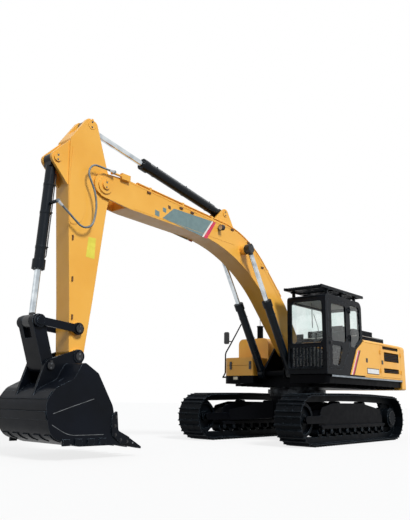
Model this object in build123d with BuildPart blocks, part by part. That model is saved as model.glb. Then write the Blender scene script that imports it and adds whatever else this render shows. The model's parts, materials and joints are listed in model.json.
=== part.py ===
from build123d import *

import math
import os

# Crawler excavator, 36-tonne class. Millimetres. +X forward, +Y left (cab side), +Z up.
# The origin is on the ground, on the slew axis.

os.makedirs("parts", exist_ok=True)

FIT = 0.3            # gap round a pin, a rod or a roller
SIDE_GAP = 6         # side gap between links that pass each other
HINGE_PIN = 5        # pin radius in the hinges of doors and lids

# ---- Undercarriage ----
TRACK_GAUGE = 2590
SHOE_WIDTH = 600
SHOE_COUNT = 48
SHOE_THICKNESS = 14
GROUSER_HEIGHT = 36
GROUSER_BASE = 34
GROUSER_TIP = 16
PITCH_RADIUS = 405   # chain pitch line round the idler and the sprocket
LINK_HALF_HEIGHT = 60
LINK_INNER = 40      # the two rows of links, from the chain's middle
LINK_OUTER = 86
IDLER_X = 1975
SPROCKET_X = -1955
CARRIER_X = (550, -650)
CARRIER_LIFT = 32    # the upper run's rise over the carrier rollers
CARRIER_RADIUS = 80
ROLLER_COUNT = 9
ROLLER_SPACING = 350
ROLLER_RADIUS = 95
ROLLER_AXLE_RADIUS = 38
SPROCKET_TEETH = 21
FINAL_DRIVE_RADIUS = 225

SHOE_DEPTH = LINK_HALF_HEIGHT + SHOE_THICKNESS + GROUSER_HEIGHT
WHEEL_Z = SHOE_DEPTH + PITCH_RADIUS
RAIL_RADIUS = PITCH_RADIUS - LINK_HALF_HEIGHT
ROLLER_Z = SHOE_DEPTH + LINK_HALF_HEIGHT + ROLLER_RADIUS
CARRIER_Z = WHEEL_Z + RAIL_RADIUS + CARRIER_LIFT - CARRIER_RADIUS - 3
TRACK_Y = TRACK_GAUGE / 2

FLANGE_THICKNESS = 30
FRAME_BOTTOM = ROLLER_Z + ROLLER_RADIUS + 10 + FLANGE_THICKNESS
FRAME_TOP = 700
GUARD_PLATE = 22     # plates that close the frame's sides, above and below the beam
SHOULDER_TOP = 850
SKIRT_DROP = 65
FRAME_HALF_WIDTH = 150
FRAME_FRONT = 1500
FRAME_REAR = -1530
MOTOR_FACE = 55      # the motor housing's face, from the chain's middle
FLANGE_HALF_WIDTH = 215
YOKE_THICKNESS = 40
YOKE_RADIUS = 75

TOW_X = 740
TOW_Z = 590
TOW_THICKNESS = 50
TOW_BORE = 30

HUB_RADIUS = 640
HUB_BOTTOM = 480
HUB_TOP = 985
BEARING_RADIUS = 690
BEARING_BORE = 420

# ---- House ----
DECK_BOTTOM = 1200
DECK_TOP = 1450
HOUSE_HALF_WIDTH = 1495
DECK_HALF_WIDTH = 1455
DECK_FRONT = 1080
DECK_CORNER = 240         # the right front corner, under the tool box
DECK_REAR = -2750
DECK_WALL = 60
SKIRT_BOTTOM = 1268       # underside of the deck's side beams
SPINE_HALF_WIDTH = 760    # the deck's deep middle frame
RIB_PITCH = 235
RIB_THICKNESS = 14
LEDGE_THICKNESS = 50
LEDGE_REACH = 15          # the step along each side, out past the house
BOOM_WELL_FRONT = 720     # deck front between the cab and the tool box
BOOM_WELL_LEFT = 505
BOOM_WELL_RIGHT = -515

PANEL = 40                # thickness of house panels and their doors
DOOR_GAP = 6
BAY_FRONT = -620
BAY_TOP = 2335
BAY_CORNER = 55
DOOR_BOTTOM = 1490
DOOR_TOP = 2268
SIDE_DOORS = (("front", -672, -1478), ("rear", -1540, -2715))
HINGE_HEIGHTS = (1640, 2090)
HINGE_RADIUS = 12
HINGE_Y = HOUSE_HALF_WIDTH + HINGE_RADIUS + 1
HOOD_PIN = (-1572, BAY_TOP + 28)
HOOD_HINGES = (-650, 650)
TAIL_RADIUS = 3450
COUNTERWEIGHT_FRONT = DECK_REAR
COUNTERWEIGHT_TOP = BAY_TOP
LIFT_X = -2950            # threaded holes for the counterweight's lifting eyes
LIFT_Y = 1150
LIFT_RADIUS = 21
LIFT_DEPTH = 90

CAB_FRONT = 1160
CAB_REAR = -550
CAB_INNER = 510
CAB_BOTTOM = DECK_TOP + 12
CAB_TOP = 3200
CAB_WALL = 50
GLASS = 8
GUARD_FRONT = 1300
GUARD_REAR = -700
GUARD_Z = CAB_TOP + 120
GUARD_SLATS = 15

# ---- Front equipment: pins in the machine's middle plane, as (X, Z) ----
BOOM_FOOT = (300, 2080)
BOOM_TIP = (6380, 4440)
BOOM_CYLINDER_FOOT = (880, 1500)
BOOM_CYLINDER_HEAD = (2460, 4090)
ARM_CYLINDER_FOOT = (3000, 4800)
ARM_CYLINDER_HEAD = (6710, 5460)
BUCKET_PIN = (6730, 1500)
SIDE_LINK_PIN = (6757, 1930)
ROD_PIN = (7470, 1985)
BUCKET_LINK_PIN = (7240, 1330)
BUCKET_CYLINDER_FOOT = (7340, 4650)

BOOM_HALF_WIDTH = 210
BOOM_PLATE = 14
FORK_START = 5870         # the boom tip's fork, where the arm passes
FORK_HALF_GAP = 182
ARM_HALF_WIDTH = 170
ARM_END_HALF_WIDTH = 194  # bosses at the arm's lower pins
ARM_PLATE = 12
CYLINDER_SPREAD = 390     # boom cylinders, from the middle plane
BRACKET_INNER = 250
BRACKET_OUTER = 300
LINK_INNER_FACE = ARM_END_HALF_WIDTH + SIDE_GAP
LINK_THICKNESS = 45


def save(name, builder):
    builder.part.label = name
    export_step(builder.part, f"parts/{name}.step")


def side_plane(y):
    """A profile plane across the machine at Y = y: its x is X, its y is Z."""
    return Plane.XZ.offset(-y)


def filled(corners):
    """A closed outline from (x, y, corner radius) rows."""
    points = [(x, y) for x, y, _ in corners]
    radii = [radius for _, _, radius in corners]
    with BuildLine() as outline:
        if any(radii):
            FilletPolyline(*points, radius=radii, close=True)
        else:
            Polyline(*points, close=True)
    make_face(outline.edges())


def tapered(ends):
    """A link's outline round its bosses, from (centre, radius) rows."""
    for centre, radius in ends:
        with Locations(centre):
            Circle(radius)
    make_hull()


def between(a, b, share):
    return (a[0] + (b[0] - a[0]) * share, a[1] + (b[1] - a[1]) * share)


def beside(a, b, along, distance):
    """A point on the line from a to b, moved to its left by a distance."""
    length = math.dist(a, b)
    ux, uz = (b[0] - a[0]) / length, (b[1] - a[1]) / length
    return (a[0] + ux * along - uz * distance, a[1] + uz * along + ux * distance)


def fixed_knuckles(place, radius, middle, outer):
    """A hinge's pin and its two outer knuckles, along the place's Z."""
    with Locations(place):
        Cylinder(HINGE_PIN, 2 * (middle + outer))
        with Locations((0, 0, middle + outer / 2), (0, 0, -middle - outer / 2)):
            Cylinder(radius, outer - 2 * FIT)


def moving_knuckle(place, radius, middle):
    """The middle knuckle of a hinge, bored for the pin."""
    with Locations(place):
        Cylinder(radius, 2 * middle)
        Cylinder(HINGE_PIN + FIT, 2 * middle, mode=Mode.SUBTRACT)


# ---------------------------------------------------------------- tracks

def loop_stations():
    """Pitch-line points of the chain's joints, from the sprocket's underside forward."""
    top = WHEEL_Z + PITCH_RADIUS
    bottom = WHEEL_Z - PITCH_RADIUS
    path = [(SPROCKET_X, bottom), (IDLER_X, bottom)]
    arc_steps = 24
    for step in range(1, arc_steps):
        angle = -math.pi / 2 + math.pi * step / arc_steps
        path.append((IDLER_X + PITCH_RADIUS * math.cos(angle), WHEEL_Z + PITCH_RADIUS * math.sin(angle)))
    path.append((IDLER_X, top))
    path += [(x, top + CARRIER_LIFT) for x in CARRIER_X]
    path.append((SPROCKET_X, top))
    for step in range(1, arc_steps):
        angle = math.pi / 2 + math.pi * step / arc_steps
        path.append((SPROCKET_X + PITCH_RADIUS * math.cos(angle), WHEEL_Z + PITCH_RADIUS * math.sin(angle)))
    runs = [(path[i], path[(i + 1) % len(path)]) for i in range(len(path))]
    total = sum(math.dist(a, b) for a, b in runs)
    pitch = total / SHOE_COUNT
    joints = []
    walked = 0
    for a, b in runs:
        length = math.dist(a, b)
        while len(joints) * pitch < walked + length and len(joints) < SHOE_COUNT:
            joints.append(between(a, b, (len(joints) * pitch - walked) / length))
        walked += length
    return joints, pitch


joints, shoe_pitch = loop_stations()


def offset_loop(distance):
    """The joints moved outwards by a distance, square to the chain."""
    moved = []
    for i, point in enumerate(joints):
        before = joints[i - 1]
        after = joints[(i + 1) % SHOE_COUNT]
        span = math.dist(before, after)
        nx = (after[1] - before[1]) / span
        nz = -(after[0] - before[0]) / span
        moved.append((point[0] + nx * distance, point[1] + nz * distance))
    return moved


def shoe_loop():
    """The shoes' outer outline, two grousers to a shoe."""
    plate = LINK_HALF_HEIGHT + SHOE_THICKNESS
    tip = plate + GROUSER_HEIGHT
    profile = []         # (share of the pitch, sideways, height)
    for centre in (0.25, 0.75):
        profile += [
            (centre, -GROUSER_BASE / 2, plate),
            (centre, -GROUSER_TIP / 2, tip),
            (centre, GROUSER_TIP / 2, tip),
            (centre, GROUSER_BASE / 2, plate),
        ]
    points = []
    for i, a in enumerate(joints):
        b = joints[(i + 1) % SHOE_COUNT]
        length = math.dist(a, b)
        ux, uz = (b[0] - a[0]) / length, (b[1] - a[1]) / length
        for share, sideways, height in profile:
            along = share * length + sideways
            points.append((a[0] + ux * along + uz * height, a[1] + uz * along - ux * height))
    return points


shoe_outline = shoe_loop()
chain_outer = offset_loop(LINK_HALF_HEIGHT)
chain_inner = offset_loop(-LINK_HALF_HEIGHT)

for side, sign in (("left", 1), ("right", -1)):
    with BuildPart() as track:
        with BuildSketch(side_plane(sign * TRACK_Y)):
            with BuildLine():
                Polyline(*shoe_outline, close=True)
            make_face()
            with BuildLine():
                Polyline(*chain_outer, close=True)
            make_face(mode=Mode.SUBTRACT)
        extrude(amount=SHOE_WIDTH / 2, both=True)
        for row in (-1, 1):
            row_y = sign * TRACK_Y + row * (LINK_INNER + LINK_OUTER) / 2
            with BuildSketch(side_plane(row_y)):
                with BuildLine():
                    Polyline(*chain_outer, close=True)
                make_face()
                with BuildLine():
                    Polyline(*chain_inner, close=True)
                make_face(mode=Mode.SUBTRACT)
            extrude(amount=(LINK_OUTER - LINK_INNER) / 2, both=True)
    save(f"track_{side}", track)

# Track frames: beam, roller flange, idler yoke, motor housing and carrier brackets
with BuildPart() as track_frames:
    for sign in (1, -1):
        middle = sign * TRACK_Y
        with BuildSketch(side_plane(middle)):
            filled([
                (FRAME_REAR, FRAME_BOTTOM, 0),
                (FRAME_FRONT, FRAME_BOTTOM, 0),
                (FRAME_FRONT, FRAME_TOP - 150, 30),
                (FRAME_FRONT - 180, FRAME_TOP, 60),
                (FRAME_REAR + 180, FRAME_TOP, 60),
                (FRAME_REAR, FRAME_TOP - 150, 30),
            ])
        extrude(amount=FRAME_HALF_WIDTH, both=True)
        with BuildSketch(Plane.XY.offset(FRAME_BOTTOM - FLANGE_THICKNESS)):
            with Locations(((FRAME_FRONT + FRAME_REAR) / 2, middle)):
                Rectangle(FRAME_FRONT - FRAME_REAR, 2 * FLANGE_HALF_WIDTH)
        extrude(amount=FLANGE_THICKNESS)
        for row in (-1, 1):
            row_y = middle + row * (FRAME_HALF_WIDTH + YOKE_THICKNESS / 2)
            with BuildSketch(side_plane(row_y)):
                tapered([((FRAME_FRONT - 220, WHEEL_Z), YOKE_RADIUS), ((IDLER_X, WHEEL_Z), YOKE_RADIUS)])
            extrude(amount=YOKE_THICKNESS / 2, both=True)
            with BuildSketch(side_plane(middle + row * (FRAME_HALF_WIDTH - GUARD_PLATE / 2))):
                filled([
                    (FRAME_REAR + 60, FRAME_TOP - 60, 0),
                    (FRAME_FRONT - 60, FRAME_TOP - 60, 0),
                    (FRAME_FRONT - 160, FRAME_TOP + 60, 60),
                    (CARRIER_X[0] + 300, SHOULDER_TOP, 120),
                    (CARRIER_X[1] + 130, SHOULDER_TOP, 120),
                    (FRAME_REAR + 120, FRAME_TOP + 20, 60),
                ])
            extrude(amount=GUARD_PLATE / 2, both=True)
            with BuildSketch(side_plane(middle + row * (FLANGE_HALF_WIDTH - GUARD_PLATE / 4))):
                filled([
                    (FRAME_REAR, FRAME_BOTTOM, 0),
                    (FRAME_FRONT, FRAME_BOTTOM, 0),
                    (FRAME_FRONT - 60, FRAME_BOTTOM - SKIRT_DROP, 20),
                    (FRAME_REAR + 60, FRAME_BOTTOM - SKIRT_DROP, 20),
                ])
            extrude(amount=GUARD_PLATE / 4, both=True)
        housing_y = middle - sign * (MOTOR_FACE + 70)
        with BuildSketch(side_plane(housing_y)):
            tapered([((FRAME_REAR + 200, WHEEL_Z), 110), ((SPROCKET_X, WHEEL_Z), FINAL_DRIVE_RADIUS)])
        extrude(amount=70, both=True)
        for x in CARRIER_X:
            with BuildSketch(side_plane(middle - sign * (FRAME_HALF_WIDTH - 20))):
                tapered([((x, CARRIER_Z), 42), ((x - 30, FRAME_TOP - 40), 60), ((x + 30, FRAME_TOP - 40), 60)])
            extrude(amount=20, both=True)
save("track_frames", track_frames)

# The chain is a polygon round the wheels, so its inner faces come nearer at mid link
WHEEL_TREAD = RAIL_RADIUS * math.sqrt(1 - (shoe_pitch / 2 / PITCH_RADIUS) ** 2) - 2
with BuildPart() as idlers:
    for sign in (1, -1):
        axle = Location((IDLER_X, sign * TRACK_Y, WHEEL_Z), (90, 0, 0))
        with Locations(axle):
            Cylinder(WHEEL_TREAD, 200)
            Cylinder(RAIL_RADIUS + 32, 2 * (LINK_INNER - 4))
            Cylinder(60, 2 * FRAME_HALF_WIDTH)
        for row in (-1, 1):
            with BuildSketch(side_plane(sign * TRACK_Y + row * 100)):
                with Locations((IDLER_X, WHEEL_Z)):
                    Circle(WHEEL_TREAD - 55)
                    Circle(110, mode=Mode.SUBTRACT)
            extrude(amount=65, both=True, mode=Mode.SUBTRACT)
save("idlers", idlers)

with BuildPart() as sprockets:
    for sign in (1, -1):
        middle = sign * TRACK_Y
        with BuildSketch(side_plane(middle)):
            with Locations((SPROCKET_X, WHEEL_Z)):
                Circle(RAIL_RADIUS - 4)
                with PolarLocations(RAIL_RADIUS + 22, SPROCKET_TEETH):
                    Rectangle(70, 40)
        extrude(amount=LINK_INNER - 6, both=True)
        with Locations(Location((SPROCKET_X, middle + sign * 110, WHEEL_Z), (90, 0, 0))):
            Cylinder(FINAL_DRIVE_RADIUS, 160)
        hub_outer = 220
        hub_length = hub_outer + MOTOR_FACE - FIT
        with Locations(Location((SPROCKET_X, middle + sign * (hub_outer - hub_length / 2), WHEEL_Z), (90, 0, 0))):
            Cylinder(FINAL_DRIVE_RADIUS - 60, hub_length)
save("sprockets", sprockets)

with BuildPart() as bottom_rollers:
    for sign in (1, -1):
        for index in range(ROLLER_COUNT):
            x = (index - (ROLLER_COUNT - 1) / 2) * ROLLER_SPACING
            with Locations(Location((x, sign * TRACK_Y, ROLLER_Z), (90, 0, 0))):
                Cylinder(ROLLER_RADIUS - FIT, 230)
                Cylinder(ROLLER_AXLE_RADIUS, 2 * FLANGE_HALF_WIDTH - 20)
            for row in (-1, 1):
                with Locations((x, sign * TRACK_Y + row * (FLANGE_HALF_WIDTH - 40), FRAME_BOTTOM - FLANGE_THICKNESS)):
                    Box(90, 50, FRAME_BOTTOM - FLANGE_THICKNESS - ROLLER_Z + 20,
                        align=(Align.CENTER, Align.CENTER, Align.MAX))
save("bottom_rollers", bottom_rollers)

with BuildPart() as carrier_rollers:
    for sign in (1, -1):
        for x in CARRIER_X:
            with Locations(Location((x, sign * TRACK_Y, CARRIER_Z), (90, 0, 0))):
                Cylinder(CARRIER_RADIUS - FIT, 2 * (FRAME_HALF_WIDTH - 40))
save("carrier_rollers", carrier_rollers)

# Car body: hub and four tapered legs to the track frames
with BuildPart() as car_body:
    with Locations((0, 0, HUB_BOTTOM)):
        Cylinder(HUB_RADIUS, HUB_TOP - HUB_BOTTOM, align=(Align.CENTER, Align.CENTER, Align.MIN))
    for side_sign in (1, -1):
        for end_sign in (1, -1):
            with BuildSketch(side_plane(side_sign * 300)):
                filled([
                    (end_sign * 60, HUB_BOTTOM + 10, 0),
                    (end_sign * 540, HUB_BOTTOM + 10, 0),
                    (end_sign * 540, 900, 0),
                    (end_sign * 60, 900, 0),
                ])
            with BuildSketch(side_plane(side_sign * (TRACK_Y - FRAME_HALF_WIDTH))):
                filled([
                    (end_sign * 560, 420, 0),
                    (end_sign * 1180, 420, 0),
                    (end_sign * 1180, 660, 0),
                    (end_sign * 560, 660, 0),
                ])
            loft()
    with Locations((0, 0, HUB_BOTTOM)):
        Cylinder(BEARING_BORE - 120, HUB_TOP, align=(Align.CENTER, Align.CENTER, Align.MIN), mode=Mode.SUBTRACT)
    for end_sign in (1, -1):
        with BuildSketch(side_plane(0)):
            tapered([((end_sign * TOW_X, TOW_Z), 70), ((end_sign * (HUB_RADIUS - 60), TOW_Z), 90)])
        extrude(amount=TOW_THICKNESS / 2, both=True)
        with Locations(Location((end_sign * TOW_X, 0, TOW_Z), (90, 0, 0))):
            Cylinder(TOW_BORE, 2 * TOW_THICKNESS, mode=Mode.SUBTRACT)
save("car_body", car_body)

with BuildPart() as slew_bearing:
    with BuildSketch(Plane.XY.offset(HUB_TOP)):
        Circle(HUB_RADIUS)
        Circle(BEARING_BORE, mode=Mode.SUBTRACT)
    extrude(amount=DECK_BOTTOM - FIT - HUB_TOP)
    with BuildSketch(Plane.XY.offset(HUB_TOP + 70)):
        Circle(BEARING_RADIUS)
        Circle(HUB_RADIUS - 10, mode=Mode.SUBTRACT)
    extrude(amount=90)
save("slew_bearing", slew_bearing)

# ---------------------------------------------------------------- house

with BuildPart() as deck:
    with BuildSketch(Plane.XY.offset(SKIRT_BOTTOM)):
        filled([
            (DECK_FRONT, DECK_HALF_WIDTH, 90),
            (DECK_REAR, DECK_HALF_WIDTH, 0),
            (DECK_REAR, -DECK_HALF_WIDTH, 0),
            (DECK_FRONT, -DECK_HALF_WIDTH, DECK_CORNER),
            (DECK_FRONT, BOOM_WELL_RIGHT, 0),
            (BOOM_WELL_FRONT, BOOM_WELL_RIGHT, 0),
            (BOOM_WELL_FRONT, BOOM_WELL_LEFT, 0),
            (DECK_FRONT, BOOM_WELL_LEFT, 0),
        ])
    extrude(amount=DECK_TOP - SKIRT_BOTTOM)
    bay_width = DECK_HALF_WIDTH - DECK_WALL - SPINE_HALF_WIDTH
    bay_front = DECK_FRONT - DECK_CORNER - 20
    for sign in (1, -1):
        bay_y = sign * (SPINE_HALF_WIDTH + bay_width / 2)
        with Locations(((bay_front + DECK_REAR + DECK_WALL) / 2, bay_y, SKIRT_BOTTOM)):
            Box(bay_front - DECK_REAR - DECK_WALL, bay_width, DECK_TOP - SKIRT_BOTTOM - DECK_WALL,
                align=(Align.CENTER, Align.CENTER, Align.MIN), mode=Mode.SUBTRACT)
        x = DECK_REAR + DECK_WALL + RIB_PITCH
        while x < bay_front - RIB_PITCH / 2:
            with Locations((x, bay_y, DECK_TOP - DECK_WALL)):
                Box(RIB_THICKNESS, bay_width, DECK_TOP - DECK_WALL - DECK_BOTTOM - RIB_THICKNESS,
                    align=(Align.CENTER, Align.CENTER, Align.MAX))
            x += RIB_PITCH
    with Locations(((BOOM_WELL_FRONT + DECK_REAR) / 2, 0, DECK_BOTTOM)):
        Box(BOOM_WELL_FRONT - DECK_REAR, 2 * SPINE_HALF_WIDTH, SKIRT_BOTTOM - DECK_BOTTOM,
            align=(Align.CENTER, Align.CENTER, Align.MIN))
    for sign, front, rear in ((1, DECK_FRONT - 80, DECK_REAR), (-1, 20, DECK_REAR)):
        with Locations(((front + rear) / 2, sign * DECK_HALF_WIDTH, DECK_TOP)):
            Box(front - rear, 2 * (HOUSE_HALF_WIDTH + LEDGE_REACH - DECK_HALF_WIDTH), LEDGE_THICKNESS,
                align=(Align.CENTER, Align.CENTER, Align.MAX))
save("deck", deck)

# Boom bracket: two plates on the deck that carry the boom foot and the boom cylinders
with BuildPart() as boom_bracket:
    for sign in (1, -1):
        plate_y = sign * (BRACKET_INNER + BRACKET_OUTER) / 2
        with BuildSketch(side_plane(plate_y)):
            tapered([(BOOM_FOOT, 185), (BOOM_CYLINDER_FOOT, 125), ((-520, DECK_TOP + 30), 30)])
            with Locations((BOOM_WELL_FRONT, DECK_TOP)):
                Rectangle(2500, 400, align=(Align.MAX, Align.MAX), mode=Mode.SUBTRACT)
        extrude(amount=(BRACKET_OUTER - BRACKET_INNER) / 2, both=True)
    with Locations((-150, 0, DECK_TOP)):
        Box(60, 2 * BRACKET_INNER, 260, align=(Align.CENTER, Align.CENTER, Align.MIN))
    with Locations(Location((BOOM_FOOT[0], 0, BOOM_FOOT[1]), (90, 0, 0))):
        Cylinder(75, 2 * BRACKET_OUTER + 60)
    with Locations(Location((BOOM_CYLINDER_FOOT[0], 0, BOOM_CYLINDER_FOOT[1]), (90, 0, 0))):
        Cylinder(55, 2 * CYLINDER_SPREAD + 130)
save("boom_bracket", boom_bracket)

with BuildPart() as counterweight:
    with BuildSketch(Plane.XY.offset(DECK_BOTTOM)):
        Circle(TAIL_RADIUS)
        with Locations((COUNTERWEIGHT_FRONT, 0)):
            Rectangle(1000, 2 * HOUSE_HALF_WIDTH, align=(Align.MAX, Align.CENTER), mode=Mode.INTERSECT)
    extrude(amount=COUNTERWEIGHT_TOP - DECK_BOTTOM)
    rear_corners = counterweight.edges().filter_by(Axis.Z).sort_by(Axis.X)[:2]
    fillet(rear_corners, 260)
    fillet(counterweight.faces().sort_by(Axis.Z)[-1].edges().sort_by(Axis.X)[:-1], 90)
    fillet(counterweight.faces().sort_by(Axis.Z)[0].edges().sort_by(Axis.X)[:-1], 50)
    with Locations((COUNTERWEIGHT_FRONT, 0, DECK_TOP + 50)):
        Box(220, 2000, 780, align=(Align.MAX, Align.CENTER, Align.MIN), mode=Mode.SUBTRACT)
    with Locations(*[(LIFT_X, sign * LIFT_Y, COUNTERWEIGHT_TOP) for sign in (1, -1)]):
        Hole(LIFT_RADIUS, depth=LIFT_DEPTH)
save("counterweight", counterweight)

with BuildPart() as engine_bay:
    with BuildSketch(Plane.YZ.offset(DECK_REAR)):
        filled([
            (-HOUSE_HALF_WIDTH, DECK_TOP, 0),
            (HOUSE_HALF_WIDTH, DECK_TOP, 0),
            (HOUSE_HALF_WIDTH, BAY_TOP, BAY_CORNER),
            (-HOUSE_HALF_WIDTH, BAY_TOP, BAY_CORNER),
        ])
    extrude(amount=BAY_FRONT - DECK_REAR)
    with BuildSketch(Plane.YZ.offset(DECK_REAR)):
        filled([
            (-HOUSE_HALF_WIDTH + PANEL, DECK_TOP, 0),
            (HOUSE_HALF_WIDTH - PANEL, DECK_TOP, 0),
            (HOUSE_HALF_WIDTH - PANEL, BAY_TOP - PANEL, BAY_CORNER - PANEL),
            (-HOUSE_HALF_WIDTH + PANEL, BAY_TOP - PANEL, BAY_CORNER - PANEL),
        ])
    extrude(amount=BAY_FRONT - DECK_REAR - PANEL, mode=Mode.SUBTRACT)
    for _, front, rear in SIDE_DOORS:
        with Locations(((front + rear) / 2, 0, (DOOR_BOTTOM + DOOR_TOP) / 2)):
            Box(front - rear + 2 * DOOR_GAP, 4000, DOOR_TOP - DOOR_BOTTOM + 2 * DOOR_GAP, mode=Mode.SUBTRACT)
    with Locations((-2175, 0, BAY_TOP)):
        Box(960, 1700, 200, mode=Mode.SUBTRACT)
    with BuildSketch(side_plane(HOUSE_HALF_WIDTH + 12)):
        filled([
            (SIDE_DOORS[0][1] + 12, DOOR_BOTTOM - 10, 0),
            (130, DOOR_BOTTOM - 10, 0),
            (-215, 2065, 40),
            (-560, BAY_TOP - BAY_CORNER - 6, 40),
            (SIDE_DOORS[0][1] + 12, BAY_TOP - BAY_CORNER - 6, 0),
        ])
    extrude(amount=12)
    for sign in (1, -1):
        for _, front, rear in SIDE_DOORS:
            for z in HINGE_HEIGHTS:
                leaf_y = sign * (HOUSE_HALF_WIDTH + 3)
                for end in (-1, 1):
                    with Locations((rear - DOOR_GAP - 10, leaf_y, z + end * 40)):
                        Box(20, 6, 28)
                pin_x = rear - DOOR_GAP / 2
                fixed_knuckles(Location((pin_x, sign * HINGE_Y, z)), HINGE_RADIUS, 25, 30)
    for y in HOOD_HINGES:
        for end in (-1, 1):
            with Locations((HOOD_PIN[0], y + end * 45, BAY_TOP)):
                Box(30, 29, HOOD_PIN[1] - BAY_TOP, align=(Align.CENTER, Align.CENTER, Align.MIN))
        fixed_knuckles(Location((HOOD_PIN[0], y, HOOD_PIN[1]), (90, 0, 0)), 20, 30, 30)
save("engine_bay", engine_bay)

# Louvres of the rear doors: front, rear, bottom, slat count
LOUVRE_PITCH = 38
LOUVRE_SLAT = 5
LOUVRES = ((-1640, -2570, 2180, 1), (-1715, -2600, 1885, 5), (-1690, -2605, 1600, 2))
for side, sign in (("left", 1), ("right", -1)):
    for place, front, rear in SIDE_DOORS:
        with BuildPart() as side_door:
            with Locations(((front + rear) / 2, sign * (HOUSE_HALF_WIDTH - PANEL / 2), (DOOR_BOTTOM + DOOR_TOP) / 2)):
                Box(front - rear, PANEL, DOOR_TOP - DOOR_BOTTOM)
            if place == "rear":
                for louvre_front, louvre_rear, bottom, slats in LOUVRES:
                    length = louvre_front - louvre_rear
                    middle_x = (louvre_front + louvre_rear) / 2
                    height = (slats + 1) * LOUVRE_PITCH
                    with Locations((middle_x, sign * HOUSE_HALF_WIDTH, bottom + height / 2)):
                        Box(length, 3 * PANEL, height, mode=Mode.SUBTRACT)
                    for index in range(slats):
                        slat_z = bottom + (index + 1) * LOUVRE_PITCH
                        place_of_slat = Location((middle_x, sign * (HOUSE_HALF_WIDTH - PANEL / 2), slat_z),
                                                 (-sign * 42, 0, 0))
                        with Locations(place_of_slat):
                            Box(length + 4, PANEL - 4, LOUVRE_SLAT)
            for z in HINGE_HEIGHTS:
                with Locations((rear + 20, sign * (HOUSE_HALF_WIDTH + 3), z)):
                    Box(40, 6, 48)
                moving_knuckle(Location((rear - DOOR_GAP / 2, sign * HINGE_Y, z)), HINGE_RADIUS, 25)
        save(f"side_door_{side}_{place}", side_door)

with BuildPart() as engine_block:
    with Locations((-2050, 0, DECK_TOP + 40)):
        Box(900, 1500, 700, align=(Align.CENTER, Align.CENTER, Align.MIN))
    with Locations((-1700, 0, DECK_TOP), (-2400, 0, DECK_TOP)):
        Box(120, 900, 40, align=(Align.CENTER, Align.CENTER, Align.MIN))
save("engine_block", engine_block)

HOOD_REAR = -3000
HOOD_FRONT = -1600
HOOD_HALF_WIDTH = 950
HOOD_STEP = 2560
HOOD_TOP = 2750
HOOD_WALL = 30
HOOD_BASE = BAY_TOP + FIT
with BuildPart() as hood:
    tiers = ((HOOD_FRONT, HOOD_REAR, HOOD_HALF_WIDTH, HOOD_BASE, HOOD_STEP),
             (HOOD_FRONT - 110, HOOD_REAR + 140, HOOD_HALF_WIDTH - 250, HOOD_STEP, HOOD_TOP))
    for front, rear, half, low, high in tiers:
        with BuildSketch(Plane.XY.offset(low)):
            filled([(front, half, 60), (rear, half, 60), (rear, -half, 60), (front, -half, 60)])
        extrude(amount=high - low)
    with Locations(((HOOD_FRONT + HOOD_REAR) / 2, 0, HOOD_BASE)):
        Box(HOOD_FRONT - HOOD_REAR - 2 * HOOD_WALL, 2 * (HOOD_HALF_WIDTH - HOOD_WALL),
            HOOD_STEP - HOOD_BASE - HOOD_WALL, align=(Align.CENTER, Align.CENTER, Align.MIN), mode=Mode.SUBTRACT)
    with Locations(((HOOD_FRONT + HOOD_REAR) / 2 + 15, 0, HOOD_BASE)):
        Box(HOOD_FRONT - HOOD_REAR - 250 - 2 * HOOD_WALL, 2 * (HOOD_HALF_WIDTH - 250 - HOOD_WALL),
            HOOD_TOP - HOOD_BASE - HOOD_WALL, align=(Align.CENTER, Align.CENTER, Align.MIN), mode=Mode.SUBTRACT)
    for y in HOOD_HINGES:
        with Locations(((HOOD_FRONT + HOOD_PIN[0]) / 2 - 5, y, HOOD_PIN[1])):
            Box(HOOD_PIN[0] - HOOD_FRONT + 10, 56, 24)
        moving_knuckle(Location((HOOD_PIN[0], y, HOOD_PIN[1]), (90, 0, 0)), 20, 30)
save("hood", hood)

# Tanks and tool box on the right
TANK_INNER = -530
TANK_OUTER = 15 - DECK_HALF_WIDTH
FUEL_TANK = (-120, 420)
HYDRAULIC_TANK = (-600, -150)
TANK_TOP = 2390
for name, (rear, front) in (("fuel_tank", FUEL_TANK), ("hydraulic_tank", HYDRAULIC_TANK)):
    with BuildPart() as tank:
        with BuildSketch(Plane.YZ.offset(rear)):
            filled([
                (TANK_OUTER, DECK_TOP, 0),
                (TANK_INNER, DECK_TOP, 0),
                (TANK_INNER, TANK_TOP, 140),
                (TANK_OUTER, TANK_TOP, 140),
            ])
        extrude(amount=front - rear)
    save(name, tank)

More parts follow.
